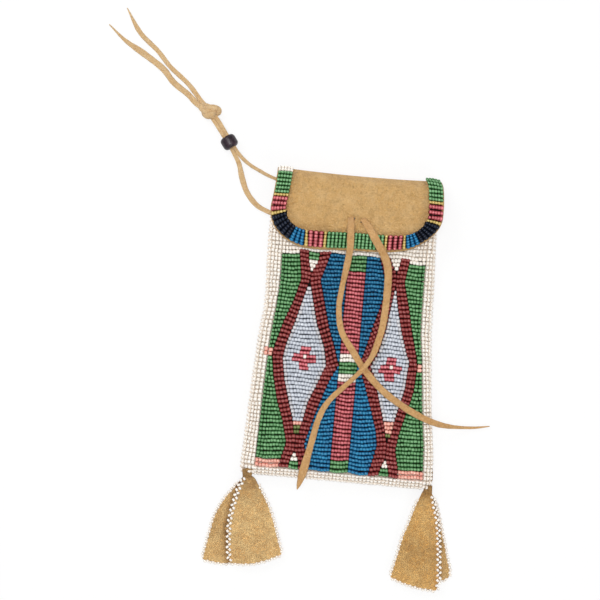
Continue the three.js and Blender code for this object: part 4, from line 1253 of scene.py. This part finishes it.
def seam_beads(line, z, top):
    """Pairs of beads sewn in a zigzag along the seam where the leaves lie over each other, from a level down."""
    beads = []
    for k, place, way, share in trim_places(line):
        sway = SEAM_SWAY if k % 2 else -SEAM_SWAY
        angle = math.atan2(way[1], way[0]) + math.radians(SEAM_TURN if k % 4 in (1, 2) else -SEAM_TURN)
        centre = (place[0] - way[1] * sway, place[1] + way[0] * sway, z(share))
        bore = (math.cos(angle), math.sin(angle), 0)
        beads.append(Bead(centre, bore, (0, 0, 1), SEAM_LENGTH, SEAM_WIDTH * dice.uniform(0.93, 1.06), "white"))
    return [bead for bead in beads if bead.centre[1] < top]


def rim_beads(line, z, out):
    """Small beads along an edge, turn about lying on the edge and standing out from it."""
    beads = []
    for k, place, way, share in trim_places(line):
        side = np.array((-way[1], way[0])) * out
        reach = 0.25 + 0.4 * (k % 2)
        level = max(RIM_FLOOR, z(share) + jitter(0.15))
        centre = (place[0] + side[0] * reach, place[1] + side[1] * reach, level)
        bore = (way[0], way[1], 0) if k % 2 else (side[0], side[1], 0)
        beads.append(Bead(centre, bore, (0, 0, 1), RIM_SIZE, RIM_SIZE * dice.uniform(0.9, 1.08), "ivory"))
    return [bead for bead in beads if bead.centre[1] < RIM_TOP]


def make_leaf(side, layer, finish, edges, foot, outer, worn, handled=(0.85, 9), seam_top=None, shaded=None):
    """One leaf of a dangle: soft hide, gathered at the neck and cupped a little on its way down, with its beads.

    outer is the edge that carries the rim's beads. A front leaf has seam beads on the other edge, below seam_top.
    handled says how strong the dirt at the neck is, and how far down it goes. shaded is a line along which a back leaf
    gets a painted shadow, where the front leaf lies over it.
    """
    name, body = side + "_" + layer, side + "_dangle"
    base, swell = FRONT_LEAF if layer == "front" else BACK_LEAF
    place = ruled(*edges, foot)

    def height(u, v):
        gather = LEAF_GATHER * (1 - step(v / 0.32))
        cup = swell * math.sin(math.pi * u) * step(v / 0.5) * (1 - 0.6 * step((v - 0.7) / 0.3))
        pleat = 0.22 * math.sin(u * 11 + 0.7) * (1 - step((v - 0.1) / 0.5)) + 0.12 * math.sin(u * 5 + v * 6)
        return base + gather + cup + pleat * min(1, v * 6)

    def shape(u, v):
        return *place(u, 1 - v), height(u, 1 - v)

    def soil_and_shade(x, y, z):
        # Painted shadow of the front leaf, along the line where it lies over this back leaf
        painted_shadow = 0.75 * math.exp(-((x - shaded(y)) / 1.7) ** 2) if shaded else 0.0
        return handled[0] * (1 - step((-71 - y) / handled[1])) + worn * math.exp(-((y + 98) / 7) ** 2) + painted_shadow

    sheet = hide_sheet(name + "_leaf", 26, 34, shape, soil_and_shade)
    area = area_of(sheet)
    flat = np.ptp(np.array([v.co for v in sheet.data.vertices])[:, :2], axis=0) + MM
    thicken(sheet, LEAF_HIDE, -1)
    settle(sheet, [finish], body, "hide", f"{side}_dangle_{layer}_leaf")
    rims = rim_beads(edges[outer], lambda t: height(outer, t) - RIM_DROP, 2 * outer - 1)
    rims += rim_beads(foot, lambda t: height(t, 1) - RIM_DROP, -1)
    sewn_on = [settle_beads(name + "_rim_beads", rims, body, "white_bead")]
    if seam_top is not None:
        seam = seam_beads(edges[1 - outer], lambda t: height(1 - outer, t) + SEAM_LIFT, seam_top)
        sewn_on.append(settle_beads(side + "_seam_beads", seam, body, "white_bead", side + "_dangle_edging"))


def beside(seam, shift):
    return profile([(y, x + shift) for x, y in seam])


def make_dangles():
    make_leaf("left", "back", BACK_LEAF_FINISH, (LEFT_BACK_EDGE, LEFT_BACK_INNER), LEFT_BACK_FOOT, 0, 0.2,
              shaded=beside(LEFT_SEAM, -0.9))
    make_leaf("left", "front", LEFT_LEAF_FINISH, (LEFT_SEAM, LEFT_FRONT_EDGE), LEFT_FRONT_FOOT, 1, 0.0, (0.6, 17),
              seam_top=-71.0)
    make_leaf("right", "back", BACK_LEAF_FINISH, (RIGHT_BACK_INNER, RIGHT_BACK_EDGE), RIGHT_BACK_FOOT, 1, 0.2,
              shaded=beside(RIGHT_SEAM, -0.3))
    make_leaf("right", "front", RIGHT_LEAF_FINISH, (RIGHT_FRONT_EDGE, RIGHT_SEAM), RIGHT_FRONT_FOOT, 0, 0.3, (0.6, 9),
              seam_top=-72.6)


def neck_tab(name, corners, top, foot):
    """The short tab of hide that wraps the pouch's corner and carries a dangle."""
    a, b, c, d = (np.array(p, float) for p in corners)

    def shape(u, down):
        v = 1 - down
        p = (a * (1 - u) + b * u) * (1 - v) + (d * (1 - u) + c * u) * v
        crown = 0.9 * math.sin(math.pi * u)
        ruck = 0.25 * math.sin(u * 8 + 1) * math.sin(math.pi * v)
        return p[0], p[1], top * (1 - step(v)) + foot * step(v) + crown + ruck

    sheet = hide_sheet(name, 14, 12, shape, lambda x, y, z: 0.3)
    thicken(sheet, LEAF_HIDE, -1)
    settle(sheet, [NECK_FINISH], "pouch", "hide")


def make_necks():
    neck_tab("left_neck_tab", [(-41.4, -67.6), (-36.2, -67.2), (-37.0, -71.4), (-40.8, -71.8)], 5.2, 4.4)
    neck_tab("right_neck_tab", [(41.3, -68.2), (44.8, -67.6), (45.0, -71.0), (40.7, -71.2)], 4.4, 4.4)


def whip_bead(place, bore, up):
    return Bead(place, bore, up, WHIP_LENGTH, WHIP_WIDTH * dice.uniform(0.92, 1.06), "ivory")


def make_edge_beads():
    """Pale beads whipped along the seams, where front and back are sewn together."""
    beads = []
    for edge, out in ((edge_left, -1), (edge_right, 1)):
        y = BOTTOM + 2.5
        while y < 50:
            tucked = 0.8 if out > 0 and -67.5 < y < -59.5 else 0.0
            x = edge(y) + out * (dice.uniform(*WHIP_OUT) - tucked)
            bore = Vector((out, jitter(0.3), 0.5))
            beads.append(whip_bead((x, y, WHIP_LEVEL + jitter(0.15)), bore, (0, 1, 0)))
            y += dice.uniform(*WHIP_STEP)
    x = edge_left(BOTTOM) + 6
    while x < edge_right(BOTTOM) - 4:
        place = (x, BOTTOM - dice.uniform(*WHIP_OUT), WHIP_LEVEL + jitter(0.15))
        beads.append(whip_bead(place, Vector((jitter(0.3), -1, 0.5)), (1, 0, 0)))
        x += dice.uniform(*WHIP_STEP)
    settle_beads("seam_edge_beads", beads, "pouch", "white_bead")


make_dangles()
make_necks()
make_edge_beads()
